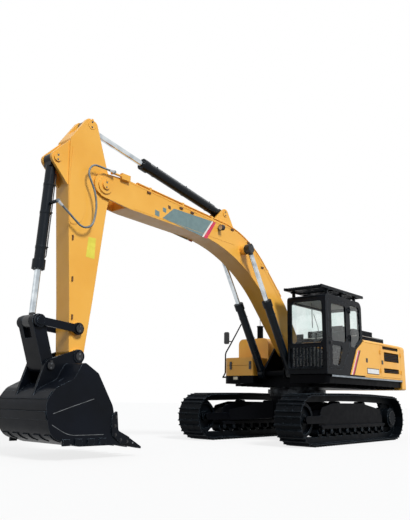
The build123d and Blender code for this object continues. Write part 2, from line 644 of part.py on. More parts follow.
BOX_REAR = 450
BOX_FRONT = 1070
BOX_SPLIT = 1690
BOX_TOP = 1880
BOX_WALL = 25
BOX_CORNER = 200
LATCH_ROWS = (-600, -1180)
LID_REAR = BOX_REAR + 25
LID_PIN = (LID_REAR - 13, BOX_TOP - 12)
LID_HINGES = (-760, -1200)
with BuildPart() as tool_box:
    with BuildSketch(Plane.XY.offset(DECK_TOP)):
        filled([(BOX_FRONT, TANK_INNER, 40), (BOX_REAR, TANK_INNER, 0), (BOX_REAR, TANK_OUTER, 0),
                (BOX_FRONT, TANK_OUTER, BOX_CORNER)])
    extrude(amount=BOX_SPLIT - DECK_TOP)
    with BuildSketch(Plane.XY.offset(DECK_TOP + BOX_WALL)):
        filled([
            (BOX_FRONT - BOX_WALL, TANK_INNER - BOX_WALL, 15),
            (BOX_REAR + BOX_WALL, TANK_INNER - BOX_WALL, 0),
            (BOX_REAR + BOX_WALL, TANK_OUTER + BOX_WALL, 0),
            (BOX_FRONT - BOX_WALL, TANK_OUTER + BOX_WALL, BOX_CORNER - BOX_WALL),
        ])
    extrude(amount=BOX_SPLIT - DECK_TOP, mode=Mode.SUBTRACT)
    for y in LATCH_ROWS:
        with Locations((BOX_FRONT, y, BOX_SPLIT)):
            Box(22, 60, 90, align=(Align.MIN, Align.CENTER, Align.MAX))
    for y in LID_HINGES:
        for end in (-1, 1):
            with Locations((BOX_REAR, y + end * 32, BOX_SPLIT)):
                Box(LID_PIN[0] - BOX_REAR + 6, 22, LID_PIN[1] - BOX_SPLIT, align=(Align.MIN, Align.CENTER, Align.MIN))
        fixed_knuckles(Location((LID_PIN[0], y, LID_PIN[1]), (90, 0, 0)), 12, 20, 24)
save("tool_box", tool_box)

LID_BASE = BOX_SPLIT + SIDE_GAP
with BuildPart() as tool_box_lid:
    with BuildSketch(Plane.XY.offset(LID_BASE)):
        filled([(BOX_FRONT, TANK_INNER, 40), (LID_REAR, TANK_INNER, 0), (LID_REAR, TANK_OUTER, 0),
                (BOX_FRONT, TANK_OUTER, BOX_CORNER)])
    extrude(amount=BOX_TOP - LID_BASE)
    with BuildSketch(Plane.XY.offset(LID_BASE)):
        filled([
            (BOX_FRONT - BOX_WALL, TANK_INNER - BOX_WALL, 15),
            (LID_REAR + BOX_WALL, TANK_INNER - BOX_WALL, 0),
            (LID_REAR + BOX_WALL, TANK_OUTER + BOX_WALL, 0),
            (BOX_FRONT - BOX_WALL, TANK_OUTER + BOX_WALL, BOX_CORNER - BOX_WALL),
        ])
    extrude(amount=BOX_TOP - LID_BASE - BOX_WALL, mode=Mode.SUBTRACT)
    for y in LATCH_ROWS:
        with Locations((BOX_FRONT, y, LID_BASE)):
            Box(22, 60, 90, align=(Align.MIN, Align.CENTER, Align.MIN))
    for y in LID_HINGES:
        with Locations((LID_PIN[0], y, LID_PIN[1])):
            Box(LID_REAR - LID_PIN[0] + 5, 38, 16, align=(Align.MIN, Align.CENTER, Align.CENTER))
        moving_knuckle(Location((LID_PIN[0], y, LID_PIN[1]), (90, 0, 0)), 12, 20)
save("tool_box_lid", tool_box_lid)

with BuildPart() as valve_block:
    with Locations((-400, 0, DECK_TOP)):
        Box(300, 2 * BRACKET_INNER - 60, 330, align=(Align.CENTER, Align.CENTER, Align.MIN))
    with Locations((-400, 0, DECK_TOP + 330)):
        Box(200, 2 * BRACKET_INNER - 160, 80, align=(Align.CENTER, Align.CENTER, Align.MIN))
save("valve_block", valve_block)

# Filler post on the tank, with its dipstick and step bar, and the work lamp under the tool box
POST = (165, -950)
POST_RADIUS = 75
with BuildPart() as tank_post:
    with Locations((*POST, TANK_TOP)):
        Cylinder(POST_RADIUS, 340, align=(Align.CENTER, Align.CENTER, Align.MIN))
        Cylinder(POST_RADIUS + 12, 30, align=(Align.CENTER, Align.CENTER, Align.MIN))
        Cylinder(7, 510, align=(Align.CENTER, Align.CENTER, Align.MIN))
    with Locations((*POST, TANK_TOP + 340)):
        Cylinder(POST_RADIUS + 10, 26, align=(Align.CENTER, Align.CENTER, Align.MAX))
save("tank_post", tank_post)

with BuildPart() as front_lamp:
    with BuildSketch(Plane.YZ.offset(DECK_FRONT)):
        with Locations((-1000, DECK_TOP - 60)):
            RectangleRounded(150, 90, 20)
    extrude(amount=50)
    with BuildSketch(Plane.YZ.offset(DECK_FRONT + 50)):
        with Locations((-1000, DECK_TOP - 60)):
            RectangleRounded(130, 70, 12)
    extrude(amount=-8, mode=Mode.SUBTRACT)
save("front_lamp", front_lamp)

# ---------------------------------------------------------------- cab

CAB_SIDE = [
    (CAB_REAR, CAB_BOTTOM, 0),
    (CAB_FRONT, CAB_BOTTOM, 0),
    (CAB_FRONT, CAB_TOP, 110),
    (CAB_REAR, CAB_TOP, 160),
]
CAB_INSIDE = [
    (CAB_REAR + CAB_WALL, CAB_BOTTOM + CAB_WALL, 0),
    (CAB_FRONT - CAB_WALL, CAB_BOTTOM + CAB_WALL, 0),
    (CAB_FRONT - CAB_WALL, CAB_TOP - CAB_WALL, 60),
    (CAB_REAR + CAB_WALL, CAB_TOP - CAB_WALL, 110),
]
DOOR_OUTLINE = [
    (1050, 1590, 40),
    (1050, 3095, 50),
    (110, 3095, 50),
    (110, 2080, 260),
    (480, 1590, 160),
]
DOOR_FRAME = [
    (1050 + DOOR_GAP, 1590 - DOOR_GAP, 46),
    (1050 + DOOR_GAP, 3095 + DOOR_GAP, 56),
    (110 - DOOR_GAP, 3095 + DOOR_GAP, 56),
    (110 - DOOR_GAP, 2080 - DOOR_GAP / 2, 266),
    (480 - DOOR_GAP / 2, 1590 - DOOR_GAP, 166),
]
DOOR_WINDOWS = (
    [(915, 2190, 40), (915, 3010, 60), (245, 3010, 60), (245, 2190, 60)],
    [(915, 1660, 30), (915, 2090, 40), (420, 2090, 60), (600, 1660, 80)],
)
WINDSCREEN = [(610, 2130, 60), (1395, 2130, 60), (1395, 3050, 80), (610, 3050, 80)]
LOWER_WINDOW = [(610, 1620, 40), (1395, 1620, 40), (1395, 2030, 40), (610, 2030, 40)]
REAR_WINDOW = [(610, 2380, 80), (1395, 2380, 80), (1395, 3020, 80), (610, 3020, 80)]
QUARTER_WINDOW = [(40, 2110, 50), (40, 3070, 70), (-440, 3070, 90), (-470, 2330, 120), (-200, 2110, 90)]
RIGHT_WINDOW = [(1050, 2130, 80), (1050, 3050, 80), (-430, 3050, 90), (-430, 2130, 80)]

CAB_PIN = (85, HOUSE_HALF_WIDTH + 20)
CAB_HINGES = (2300, 2940)

# Panes: plane that faces out of the cab at the pane's inner face, outline
MID_WALL = (CAB_WALL - GLASS) / 2
PANES = (
    (Plane.YZ.offset(CAB_FRONT - MID_WALL - GLASS), WINDSCREEN),
    (Plane.YZ.offset(CAB_FRONT - MID_WALL - GLASS), LOWER_WINDOW),
    (Plane.YZ.offset(CAB_REAR + MID_WALL), REAR_WINDOW),
    (side_plane(HOUSE_HALF_WIDTH - MID_WALL), QUARTER_WINDOW),
    (side_plane(CAB_INNER + MID_WALL + GLASS), RIGHT_WINDOW),
)

with BuildPart() as cab_shell:
    with BuildSketch(side_plane(CAB_INNER)):
        filled(CAB_SIDE)
    extrude(amount=-(HOUSE_HALF_WIDTH - CAB_INNER))
    with BuildSketch(side_plane(CAB_INNER + CAB_WALL)):
        filled(CAB_INSIDE)
    extrude(amount=-(HOUSE_HALF_WIDTH - CAB_INNER - 2 * CAB_WALL), mode=Mode.SUBTRACT)
    with BuildSketch(side_plane(HOUSE_HALF_WIDTH - CAB_WALL)):
        filled(DOOR_FRAME)
    extrude(amount=-CAB_WALL, mode=Mode.SUBTRACT)
    for plane, outline in PANES:
        with BuildSketch(plane):
            filled(outline)
        extrude(amount=CAB_WALL, both=True, mode=Mode.SUBTRACT)
    with Locations(*[(x, y, DECK_TOP) for x in (-400, 950) for y in (CAB_INNER + 90, HOUSE_HALF_WIDTH - 130)]):
        Cylinder(55, CAB_BOTTOM - DECK_TOP, align=(Align.CENTER, Align.CENTER, Align.MIN))
    for z in CAB_HINGES:
        for end in (-1, 1):
            with Locations((CAB_PIN[0] - 40, HOUSE_HALF_WIDTH, z + end * 50)):
                Box(45, CAB_PIN[1] - HOUSE_HALF_WIDTH, 36, align=(Align.MIN, Align.MIN, Align.CENTER))
        fixed_knuckles(Location((CAB_PIN[0], CAB_PIN[1], z)), 18, 30, 40)
save("cab_shell", cab_shell)

with BuildPart() as cab_glass:
    for plane, outline in PANES:
        with BuildSketch(plane):
            filled(outline)
        extrude(amount=GLASS)
save("cab_glass", cab_glass)

with BuildPart() as cab_door:
    with BuildSketch(side_plane(HOUSE_HALF_WIDTH - CAB_WALL)):
        filled(DOOR_OUTLINE)
    extrude(amount=-CAB_WALL)
    for outline in DOOR_WINDOWS:
        with BuildSketch(side_plane(HOUSE_HALF_WIDTH)):
            filled(outline)
        extrude(amount=2 * CAB_WALL, both=True, mode=Mode.SUBTRACT)
    for z in CAB_HINGES:
        with Locations((CAB_PIN[0], HOUSE_HALF_WIDTH + 6, z)):
            Box(95, 10, 56, align=(Align.MIN, Align.MIN, Align.CENTER))
        with Locations((DOOR_OUTLINE[2][0] + 8, HOUSE_HALF_WIDTH, z)):
            Box(60, 16, 56, align=(Align.MIN, Align.MIN, Align.CENTER))
        moving_knuckle(Location((CAB_PIN[0], CAB_PIN[1], z)), 18, 30)
save("cab_door", cab_door)

with BuildPart() as door_glass:
    for outline in DOOR_WINDOWS:
        with BuildSketch(side_plane(HOUSE_HALF_WIDTH - MID_WALL)):
            filled(outline)
        extrude(amount=GLASS)
save("door_glass", door_glass)

CAB_MIDDLE = (CAB_INNER + HOUSE_HALF_WIDTH) / 2
CAB_FLOOR = CAB_BOTTOM + CAB_WALL
with BuildPart() as cab_seat:
    with BuildSketch(side_plane(CAB_MIDDLE)):
        filled([
            (-280, CAB_FLOOR + 360, 30),
            (230, CAB_FLOOR + 360, 60),
            (250, CAB_FLOOR + 480, 50),
            (-120, CAB_FLOOR + 470, 30),
            (-220, CAB_FLOOR + 1150, 60),
            (-340, CAB_FLOOR + 1150, 60),
            (-300, CAB_FLOOR + 420, 30),
        ])
    extrude(amount=250, both=True)
    with Locations((-20, CAB_MIDDLE, CAB_FLOOR)):
        Box(420, 380, 360, align=(Align.CENTER, Align.CENTER, Align.MIN))
save("cab_seat", cab_seat)

with BuildPart() as cab_consoles:
    for sign in (1, -1):
        with BuildSketch(side_plane(CAB_MIDDLE + sign * 335)):
            filled([
                (-250, CAB_FLOOR, 0),
                (180, CAB_FLOOR, 40),
                (330, CAB_FLOOR + 560, 60),
                (-250, CAB_FLOOR + 560, 40),
            ])
        extrude(amount=70, both=True)
        with Locations((250, CAB_MIDDLE + sign * 335, CAB_FLOOR + 550)):
            Cylinder(22, 190, align=(Align.CENTER, Align.CENTER, Align.MIN))
save("cab_consoles", cab_consoles)

with BuildPart() as roof_guard:
    rail_rows = (CAB_INNER + 25, HOUSE_HALF_WIDTH - 25)
    rail_middle = (rail_rows[0] + rail_rows[1]) / 2
    rail_span = rail_rows[1] - rail_rows[0]
    for y in rail_rows:
        with Locations(((GUARD_FRONT + GUARD_REAR) / 2, y, GUARD_Z)):
            Box(GUARD_FRONT - GUARD_REAR, 40, 60, align=(Align.CENTER, Align.CENTER, Align.MIN))
    for x in (GUARD_REAR + 60, 0, 640, GUARD_FRONT - 120):
        with Locations((x, rail_middle, GUARD_Z)):
            Box(50, rail_span, 30, align=(Align.CENTER, Align.CENTER, Align.MIN))
    for index in range(GUARD_SLATS):
        y = rail_rows[0] + (index + 1) * rail_span / (GUARD_SLATS + 1)
        with Locations(((GUARD_FRONT + GUARD_REAR) / 2, y, GUARD_Z + 25)):
            Box(GUARD_FRONT - GUARD_REAR, 24, 30, align=(Align.CENTER, Align.CENTER, Align.MIN))
    for x in (-330, 300, 980):
        for y in (rail_rows[0] + 45, rail_rows[1] - 45):
            with Locations((x, y, CAB_TOP)):
                Box(50, 60, GUARD_Z + 20 - CAB_TOP, align=(Align.CENTER, Align.CENTER, Align.MIN))
            with Locations((x, (y + (rail_rows[0] if y < rail_middle else rail_rows[1])) / 2, GUARD_Z - 20)):
                Box(50, 90, 40, align=(Align.CENTER, Align.CENTER, Align.MIN))
save("roof_guard", roof_guard)

GRILLE_BARS = 10
with BuildPart() as cab_grille:
    low, high = 1570, 2060
    near, far = 560, 1360
    for z in (low, high - 30):
        with Locations((CAB_FRONT, (near + far) / 2, z)):
            Box(45, far - near, 30, align=(Align.MIN, Align.CENTER, Align.MIN))
    for index in range(GRILLE_BARS):
        y = near + 12 + index * (far - near - 24) / (GRILLE_BARS - 1)
        with Locations((CAB_FRONT + 20, y, low)):
            Box(25, 24, high - low, align=(Align.MIN, Align.CENTER, Align.MIN))
save("cab_grille", cab_grille)

RAIL_RADIUS_TUBE = 17
RAIL_Y = -DECK_HALF_WIDTH - 23
MIRROR_X = 800
with BuildPart() as handrail:
    with BuildLine() as rail_path:
        FilletPolyline(
            (1010, RAIL_Y, DECK_TOP - 40),
            (920, RAIL_Y, DECK_TOP + 80),
            (915, RAIL_Y, 2010),
            (720, RAIL_Y, 2240),
            (240, RAIL_Y, 2840),
            (-90, RAIL_Y, 2840),
            (-90, RAIL_Y, DECK_TOP),
            radius=[60, 160, 300, 120, 120],
        )
    with BuildSketch(Plane(origin=rail_path.line @ 0, z_dir=rail_path.line % 0)):
        Circle(RAIL_RADIUS_TUBE)
    sweep()
    for x, z in ((-90, 2250), (918, 1640)):
        with Locations((x, RAIL_Y, z)):
            Box(30, TANK_OUTER - RAIL_Y, 30, align=(Align.CENTER, Align.MIN, Align.CENTER))
    with Locations((MIRROR_X - FIT, RAIL_Y, 2320)):
        Box(MIRROR_X - 650, 22, 22, align=(Align.MAX, Align.CENTER, Align.CENTER))
save("handrail", handrail)

with BuildPart() as mirrors:
    with BuildSketch(Plane.YZ.offset(MIRROR_X)):
        with Locations((RAIL_Y - 42, 2400)):
            RectangleRounded(140, 300, 40)
    extrude(amount=40)
save("mirrors", mirrors)

# ---------------------------------------------------------------- boom

BOOM_OUTLINE = [
    (140, 2200, 60),
    (780, 3080, 300),
    (2255, 4483, 2400),
    (5880, 4690, 900),
    (6420, 4655, 150),
    (6600, 4560, 160),
    (6600, 4330, 160),
    (6420, 4230, 150),
    (5760, 4165, 900),
    (2540, 4110, 3600),
    (480, 1965, 100),
    (180, 1900, 150),
]
BOOM_HOLLOW = [
    (700, 2700, 40),
    (2270, 4380, 2200),
    (5650, 4560, 0),
    (5650, 4230, 0),
    (2600, 4190, 3300),
    (900, 2520, 40),
]
FOOT_BORE = 75 + FIT
with BuildPart() as boom:
    with BuildSketch(side_plane(0)):
        filled(BOOM_OUTLINE)
    extrude(amount=BOOM_HALF_WIDTH, both=True)
    with BuildSketch(side_plane(0)):
        filled(BOOM_HOLLOW)
    extrude(amount=BOOM_HALF_WIDTH - BOOM_PLATE, both=True, mode=Mode.SUBTRACT)
    with BuildSketch(side_plane(0)):
        with Locations((FORK_START, 4440)):
            Rectangle(1200, 1200, align=(Align.MIN, Align.CENTER))
    extrude(amount=FORK_HALF_GAP, both=True, mode=Mode.SUBTRACT)
    with Locations(Location((BOOM_FOOT[0], 0, BOOM_FOOT[1]), (90, 0, 0))):
        Cylinder(165, 2 * (BRACKET_INNER - SIDE_GAP))
        Cylinder(FOOT_BORE, 2 * BRACKET_INNER, mode=Mode.SUBTRACT)
    with Locations(Location((BOOM_CYLINDER_HEAD[0], 0, BOOM_CYLINDER_HEAD[1]), (90, 0, 0))):
        Cylinder(110, 2 * (CYLINDER_SPREAD - 75))
    for sign in (1, -1):
        with Locations(Location((BOOM_TIP[0], sign * (BOOM_HALF_WIDTH + FORK_HALF_GAP + 20) / 2, BOOM_TIP[1]), (90, 0, 0))):
            Cylinder(150, BOOM_HALF_WIDTH + 20 - FORK_HALF_GAP)
    with Locations(Location((BOOM_TIP[0], 0, BOOM_TIP[1]), (90, 0, 0))):
        Cylinder(60, 2 * BOOM_HALF_WIDTH + 80)
    for sign in (1, -1):
        with BuildSketch(side_plane(sign * 123)):
            tapered([(ARM_CYLINDER_FOOT, 110), ((2680, 4440), 40), ((3420, 4500), 30)])
        extrude(amount=22, both=True)
    with Locations(Location((ARM_CYLINDER_FOOT[0], 0, ARM_CYLINDER_FOOT[1]), (90, 0, 0))):
        Cylinder(45, 300)
save("boom", boom)

# Pipes along the boom's top edge, held by clamp blocks
PIPE_RADIUS = 14
PIPE_LIFT = 34
PIPE_ROWS = (166, 196)
HOSE_Y = 290              # the layer beside the boom where the arm's hose hangs
HOSE_RADIUS = 17
HOSE_FACE = HOSE_Y - HOSE_RADIUS - 0.3   # its fittings end here, so that it can swing past them
HOSE_END_RADIUS = 28
HOSE_START = 6260
MANIFOLD = (5960, 4700)
BEND = ((780, 3080), (2255, 4483), (5880, 4690))   # the top edge's corners, as in BOOM_OUTLINE
lower_run = math.dist(BEND[0], BEND[1])
upper_run = math.dist(BEND[1], BEND[2])
turn = math.atan2(1403, 1475) - math.atan2(207, 3625)
bend_shift = PIPE_LIFT * math.tan(turn / 2)
with BuildPart() as boom_pipes:
    for sign in (1, -1):
        for row in PIPE_ROWS:
            start = beside(BEND[0], BEND[1], 250, PIPE_LIFT)
            corner = beside(BEND[0], BEND[1], lower_run + bend_shift, PIPE_LIFT)
            finish = beside(BEND[1], BEND[2], upper_run - 250, PIPE_LIFT)
            with BuildLine() as pipe_path:
                FilletPolyline(*[(x, sign * row, z) for x, z in (start, corner, finish)],
                               radius=2400 + PIPE_LIFT)
            with BuildSketch(Plane(origin=pipe_path.line @ 0, z_dir=pipe_path.line % 0)):
                Circle(PIPE_RADIUS)
            sweep()
        for a, b, along in ((BEND[0], BEND[1], 400), (BEND[0], BEND[1], 1000),
                            (BEND[1], BEND[2], 1250), (BEND[1], BEND[2], 2150), (BEND[1], BEND[2], 3050)):
            x, z = beside(a, b, along, 0)
            seat = Plane(origin=(x, sign * 180, z), x_dir=(b[0] - a[0], 0, b[1] - a[1]),
                         z_dir=(a[1] - b[1], 0, b[0] - a[0]))
            with Locations(seat.location):
                Box(50, 60, PIPE_LIFT + PIPE_RADIUS + 8, align=(Align.CENTER, Align.CENTER, Align.MIN))
    # Manifold beside the boom's tip, with the stub that the arm's hose starts from
    with Locations((MANIFOLD[0], BOOM_HALF_WIDTH, MANIFOLD[1])):
        Box(200, 58, 110, align=(Align.CENTER, Align.MIN, Align.CENTER))
    with Locations(Location((MANIFOLD[0], BOOM_HALF_WIDTH + 30, MANIFOLD[1]), (0, 90, 0))):
        Cylinder(20, HOSE_START - MANIFOLD[0], align=(Align.CENTER, Align.CENTER, Align.MIN))
    with Locations(Location((HOSE_START, HOSE_FACE, MANIFOLD[1]), (90, 0, 0))):
        Cylinder(HOSE_END_RADIUS, HOSE_FACE - BOOM_HALF_WIDTH - 10, align=(Align.CENTER, Align.CENTER, Align.MIN))
save("boom_pipes", boom_pipes)

LAMP = (3290, 4400)
LAMP_RADIUS = 60
with BuildPart() as boom_lamp:
    with Locations((LAMP[0] - 20, BOOM_HALF_WIDTH, LAMP[1])):
        Box(50, 40, 90, align=(Align.CENTER, Align.MIN, Align.CENTER))
    with Locations(Location((LAMP[0], BOOM_HALF_WIDTH + 20 + LAMP_RADIUS, LAMP[1]), (0, 98, 0))):
        Cylinder(LAMP_RADIUS, 90)
        with Locations((0, 0, 38)):
            Cylinder(LAMP_RADIUS - 9, 20, mode=Mode.SUBTRACT)
save("boom_lamp", boom_lamp)

# ---------------------------------------------------------------- arm

ARM_OUTLINE = [
    (6610, 5530, 90),
    (6800, 5560, 90),
    (7130, 5060, 60),
    (7100, 4200, 400),
    (6925, 2300, 500),
    (6870, 1560, 100),
    (6760, 1370, 110),
    (6600, 1430, 110),
    (6470, 2430, 400),
    (6290, 4010, 300),
    (6200, 4440, 160),
    (6340, 4780, 200),
]
ARM_HOLLOW = [
    (6480, 4700, 0),
    (6980, 4950, 0),
    (6980, 4200, 0),
    (6830, 2300, 0),
    (6580, 2300, 0),
    (6460, 4150, 0),
]
with BuildPart() as arm:
    with BuildSketch(side_plane(0)):
        filled(ARM_OUTLINE)
    extrude(amount=ARM_HALF_WIDTH, both=True)
    with BuildSketch(side_plane(0)):
        filled(ARM_HOLLOW)
    extrude(amount=ARM_HALF_WIDTH - ARM_PLATE, both=True, mode=Mode.SUBTRACT)
    with BuildSketch(side_plane(0)):
        filled([(6300, 5250, 0), (7200, 5250, 0), (7200, 5800, 0), (6300, 5800, 0)])
    extrude(amount=96, both=True, mode=Mode.SUBTRACT)
    for centre, radius in ((BUCKET_PIN, 125), (SIDE_LINK_PIN, 105)):
        with Locations(Location((centre[0], 0, centre[1]), (90, 0, 0))):
            Cylinder(radius, 2 * ARM_END_HALF_WIDTH)
    for sign in (1, -1):
        with BuildSketch(side_plane(sign * 125)):
            tapered([(BUCKET_CYLINDER_FOOT, 110), ((7060, 5060), 30), ((7060, 4250), 30)])
        extrude(amount=25, both=True)
    with Locations(Location((BOOM_TIP[0], 0, BOOM_TIP[1]), (90, 0, 0))):
        Cylinder(60 + FIT, 2 * BOOM_HALF_WIDTH, mode=Mode.SUBTRACT)
    with Locations(Location((BUCKET_PIN[0], 0, BUCKET_PIN[1]), (90, 0, 0))):
        Cylinder(50 + FIT, 2 * BOOM_HALF_WIDTH, mode=Mode.SUBTRACT)
    with Locations(Location((BUCKET_CYLINDER_FOOT[0], 0, BUCKET_CYLINDER_FOOT[1]), (90, 0, 0))):
        Cylinder(45, 330)
    with Locations(Location((SIDE_LINK_PIN[0], 0, SIDE_LINK_PIN[1]), (90, 0, 0))):
        Cylinder(45, 2 * (LINK_INNER_FACE + LINK_THICKNESS) + 30)
save("arm", arm)

# ---------------------------------------------------------------- cylinders

# name, foot, head, middle Y rows, barrel radius, rod radius, barrel length, rod length, stroke left to close,
# half width of the foot eye, half width of the head eye, foot bore
CYLINDERS = (
    ("boom", BOOM_CYLINDER_FOOT, BOOM_CYLINDER_HEAD, (CYLINDER_SPREAD, -CYLINDER_SPREAD),
     88, 52, 1800, 1870, 800, 60, 60, 55),
    ("arm", ARM_CYLINDER_FOOT, ARM_CYLINDER_HEAD, (0,),
     95, 55, 2400, 2000, 1030, 86, 88, 45),
    ("bucket", BUCKET_CYLINDER_FOOT, ROD_PIN, (0,),
     82, 50, 1850, 1720, 490, 92, 82, 45),
)


HOSE_ROUTE = ((7360, 3880), (6700, 3440), (6560, 4080), (6930, MANIFOLD[1]), (HOSE_START, MANIFOLD[1]))


def along_plane(start, end, y, distance):
    """A plane square to the line from start to end, at a distance from start."""
    length = math.dist(start, end)
    x, z = between(start, end, distance / length)
    return Plane(origin=(x, y, z), x_dir=(0, 1, 0), z_dir=(end[0] - start[0], 0, end[1] - start[1]))


for (name, foot, head, rows, barrel_radius, rod_radius, barrel_length, rod_length, stroke_left,
     foot_half, head_half, foot_bore) in CYLINDERS:
    length = math.dist(foot, head)
    with BuildPart() as barrel:
        for y in rows:
            with BuildSketch(along_plane(foot, head, y, 120)):
                Circle(barrel_radius)
            extrude(amount=barrel_length - 120)
            with BuildSketch(along_plane(foot, head, y, barrel_length - 150)):
                Circle(barrel_radius + 20)
            extrude(amount=150)
            with Locations(Location((foot[0], y, foot[1]), (90, 0, 0))):
                Cylinder(foot_bore + 55, 2 * foot_half)
            with BuildSketch(along_plane(foot, head, y, 40)):
                Rectangle(2 * foot_half, 150)
            extrude(amount=100)
            with BuildSketch(along_plane(foot, head, y, length - rod_length - stroke_left)):
                Circle(rod_radius + FIT)
            extrude(amount=barrel_length, mode=Mode.SUBTRACT)
            with Locations(Location((foot[0], y, foot[1]), (90, 0, 0))):
                Cylinder(foot_bore + FIT, 4 * foot_half, mode=Mode.SUBTRACT)
        if name == "bucket":
            with Locations(Location((HOSE_ROUTE[0][0], HOSE_FACE, HOSE_ROUTE[0][1]), (90, 0, 0))):
                Cylinder(HOSE_END_RADIUS, HOSE_FACE - 40, align=(Align.CENTER, Align.CENTER, Align.MIN))
            with BuildSketch(along_plane(foot, head, 0, length - rod_length - stroke_left)):
                Circle(rod_radius + FIT)
            extrude(amount=barrel_length, mode=Mode.SUBTRACT)
    save(f"{name}_barrel", barrel)
    with BuildPart() as rod:
        for y in rows:
            with BuildSketch(along_plane(foot, head, y, length - rod_length)):
                Circle(rod_radius)
            extrude(amount=rod_length - 40)
            with Locations(Location((head[0], y, head[1]), (90, 0, 0))):
                Cylinder(105, 2 * head_half)
    save(f"{name}_rod", rod)

# The hose's corners are rounded as wide as its runs allow
hose_radii = []
for before, corner, after in zip(HOSE_ROUTE, HOSE_ROUTE[1:], HOSE_ROUTE[2:]):
    turned = math.atan2(corner[1] - before[1], corner[0] - before[0])
    turned -= math.atan2(after[1] - corner[1], after[0] - corner[0])
    half_turn = abs((turned + math.pi) % (2 * math.pi) - math.pi) / 2
    run = min(math.dist(before, corner), math.dist(corner, after))
    hose_radii.append(0.45 * run / math.tan(half_turn))
with BuildPart() as arm_hose:
    with BuildLine() as hose_path:
        FilletPolyline(*[(x, HOSE_Y, z) for x, z in HOSE_ROUTE], radius=hose_radii)
    with BuildSketch(Plane(origin=hose_path.line @ 0, z_dir=hose_path.line % 0)):
        Circle(HOSE_RADIUS)
    sweep()
    for x, z in (HOSE_ROUTE[0], HOSE_ROUTE[-1]):
        with Locations(Location((x, HOSE_Y, z), (90, 0, 0))):
            Cylinder(HOSE_END_RADIUS, 2 * HOSE_RADIUS)
save("arm_hose", arm_hose)

# ---------------------------------------------------------------- bucket linkage

with BuildPart() as side_links:
    for sign in (1, -1):
        with BuildSketch(side_plane(sign * (LINK_INNER_FACE + LINK_THICKNESS / 2))):
            tapered([(SIDE_LINK_PIN, 60), (ROD_PIN, 60)])
            for centre in (SIDE_LINK_PIN, ROD_PIN):
                with Locations(centre):
                    Circle(96)
        extrude(amount=LINK_THICKNESS / 2, both=True)
        with Locations(Location((ROD_PIN[0], sign * (LINK_INNER_FACE + LINK_THICKNESS + 9), ROD_PIN[1]), (90, 0, 0))):
            Cylinder(62, 18)
    with Locations(Location((SIDE_LINK_PIN[0], 0, SIDE_LINK_PIN[1]), (90, 0, 0))):
        Cylinder(45 + FIT, 800, mode=Mode.SUBTRACT)
save("side_links", side_links)

HLINK_INNER = 92
with BuildPart() as h_link:
    with BuildSketch(side_plane(0)):
        tapered([(ROD_PIN, 105), (BUCKET_LINK_PIN, 100)])
    extrude(amount=LINK_INNER_FACE - SIDE_GAP, both=True)
    with BuildSketch(side_plane(0)):
        with Locations(ROD_PIN):
            Rectangle(700, 500)
    extrude(amount=HLINK_INNER, both=True, mode=Mode.SUBTRACT)
    with Locations(Location((BUCKET_LINK_PIN[0], 0, BUCKET_LINK_PIN[1]), (90, 0, 0))):
        Cylinder(45 + FIT, 800, mode=Mode.SUBTRACT)
save("h_link", h_link)

# ---------------------------------------------------------------- bucket

BUCKET_HALF_HEEL = 640
BUCKET_HALF_MOUTH = 730
BUCKET_SHELL = 24
BUCKET_HEEL = 7530
BUCKET_TAPER_START = 6400
LIP_EDGE = 5980
LIP_BOTTOM = 192
LIP_TOP = LIP_BOTTOM + 28
CUTTER_THICKNESS = 26
WEAR_THICKNESS = 14
SHROUD_WIDTH = 150
BUCKET_SIDE = [
    (6690, 1235, 40),
    (6960, 1400, 60),
    (7110, 1140, 120),
    (7390, 1010, 160),
    (BUCKET_HEEL + 15, 800, 220),
    (BUCKET_HEEL - 90, 330, 260),
    (6980, LIP_BOTTOM, 300),
    (LIP_EDGE, LIP_BOTTOM, 0),
    (6060, 290, 0),
    (6310, 400, 60),
    (6400, 760, 300),
]


def bucket_half_width(x):
    """Half the bucket's width at x: its sides close in from the mouth to the heel."""
    share = max(0, (x - BUCKET_TAPER_START) / (BUCKET_HEEL - BUCKET_TAPER_START))
    return BUCKET_HALF_MOUTH - share * (BUCKET_HALF_MOUTH - BUCKET_HALF_HEEL)


def bucket_plan(wall):
    """The bucket's outline from above, drawn in from its sides by the wall."""
    mouth = BUCKET_HALF_MOUTH - wall
    heel = BUCKET_HALF_HEEL - wall
    return filled([
        (5500, mouth, 0),
        (BUCKET_TAPER_START, mouth, 0),
        (BUCKET_HEEL, heel, 0),
        (BUCKET_HEEL + 400, heel, 0),
        (BUCKET_HEEL + 400, -heel, 0),
        (BUCKET_HEEL, -heel, 0),
        (BUCKET_TAPER_START, -mouth, 0),
        (5500, -mouth, 0),
    ])


with BuildPart() as bucket_inside:
    with BuildSketch(side_plane(0)):
        filled([
            (6600, 1170, 0),
            (6900, 1300, 60),
            (7075, 1085, 100),
            (7365, 960, 150),
            (BUCKET_HEEL - 12, 795, 200),
            (BUCKET_HEEL - 125, 358, 235),
            (6975, LIP_TOP, 280),
            (5600, LIP_TOP, 0),
        ])
    extrude(amount=BUCKET_HALF_MOUTH, both=True)
    with BuildSketch(Plane.XY):
        bucket_plan(BUCKET_SHELL)
    extrude(amount=2000, mode=Mode.INTERSECT)

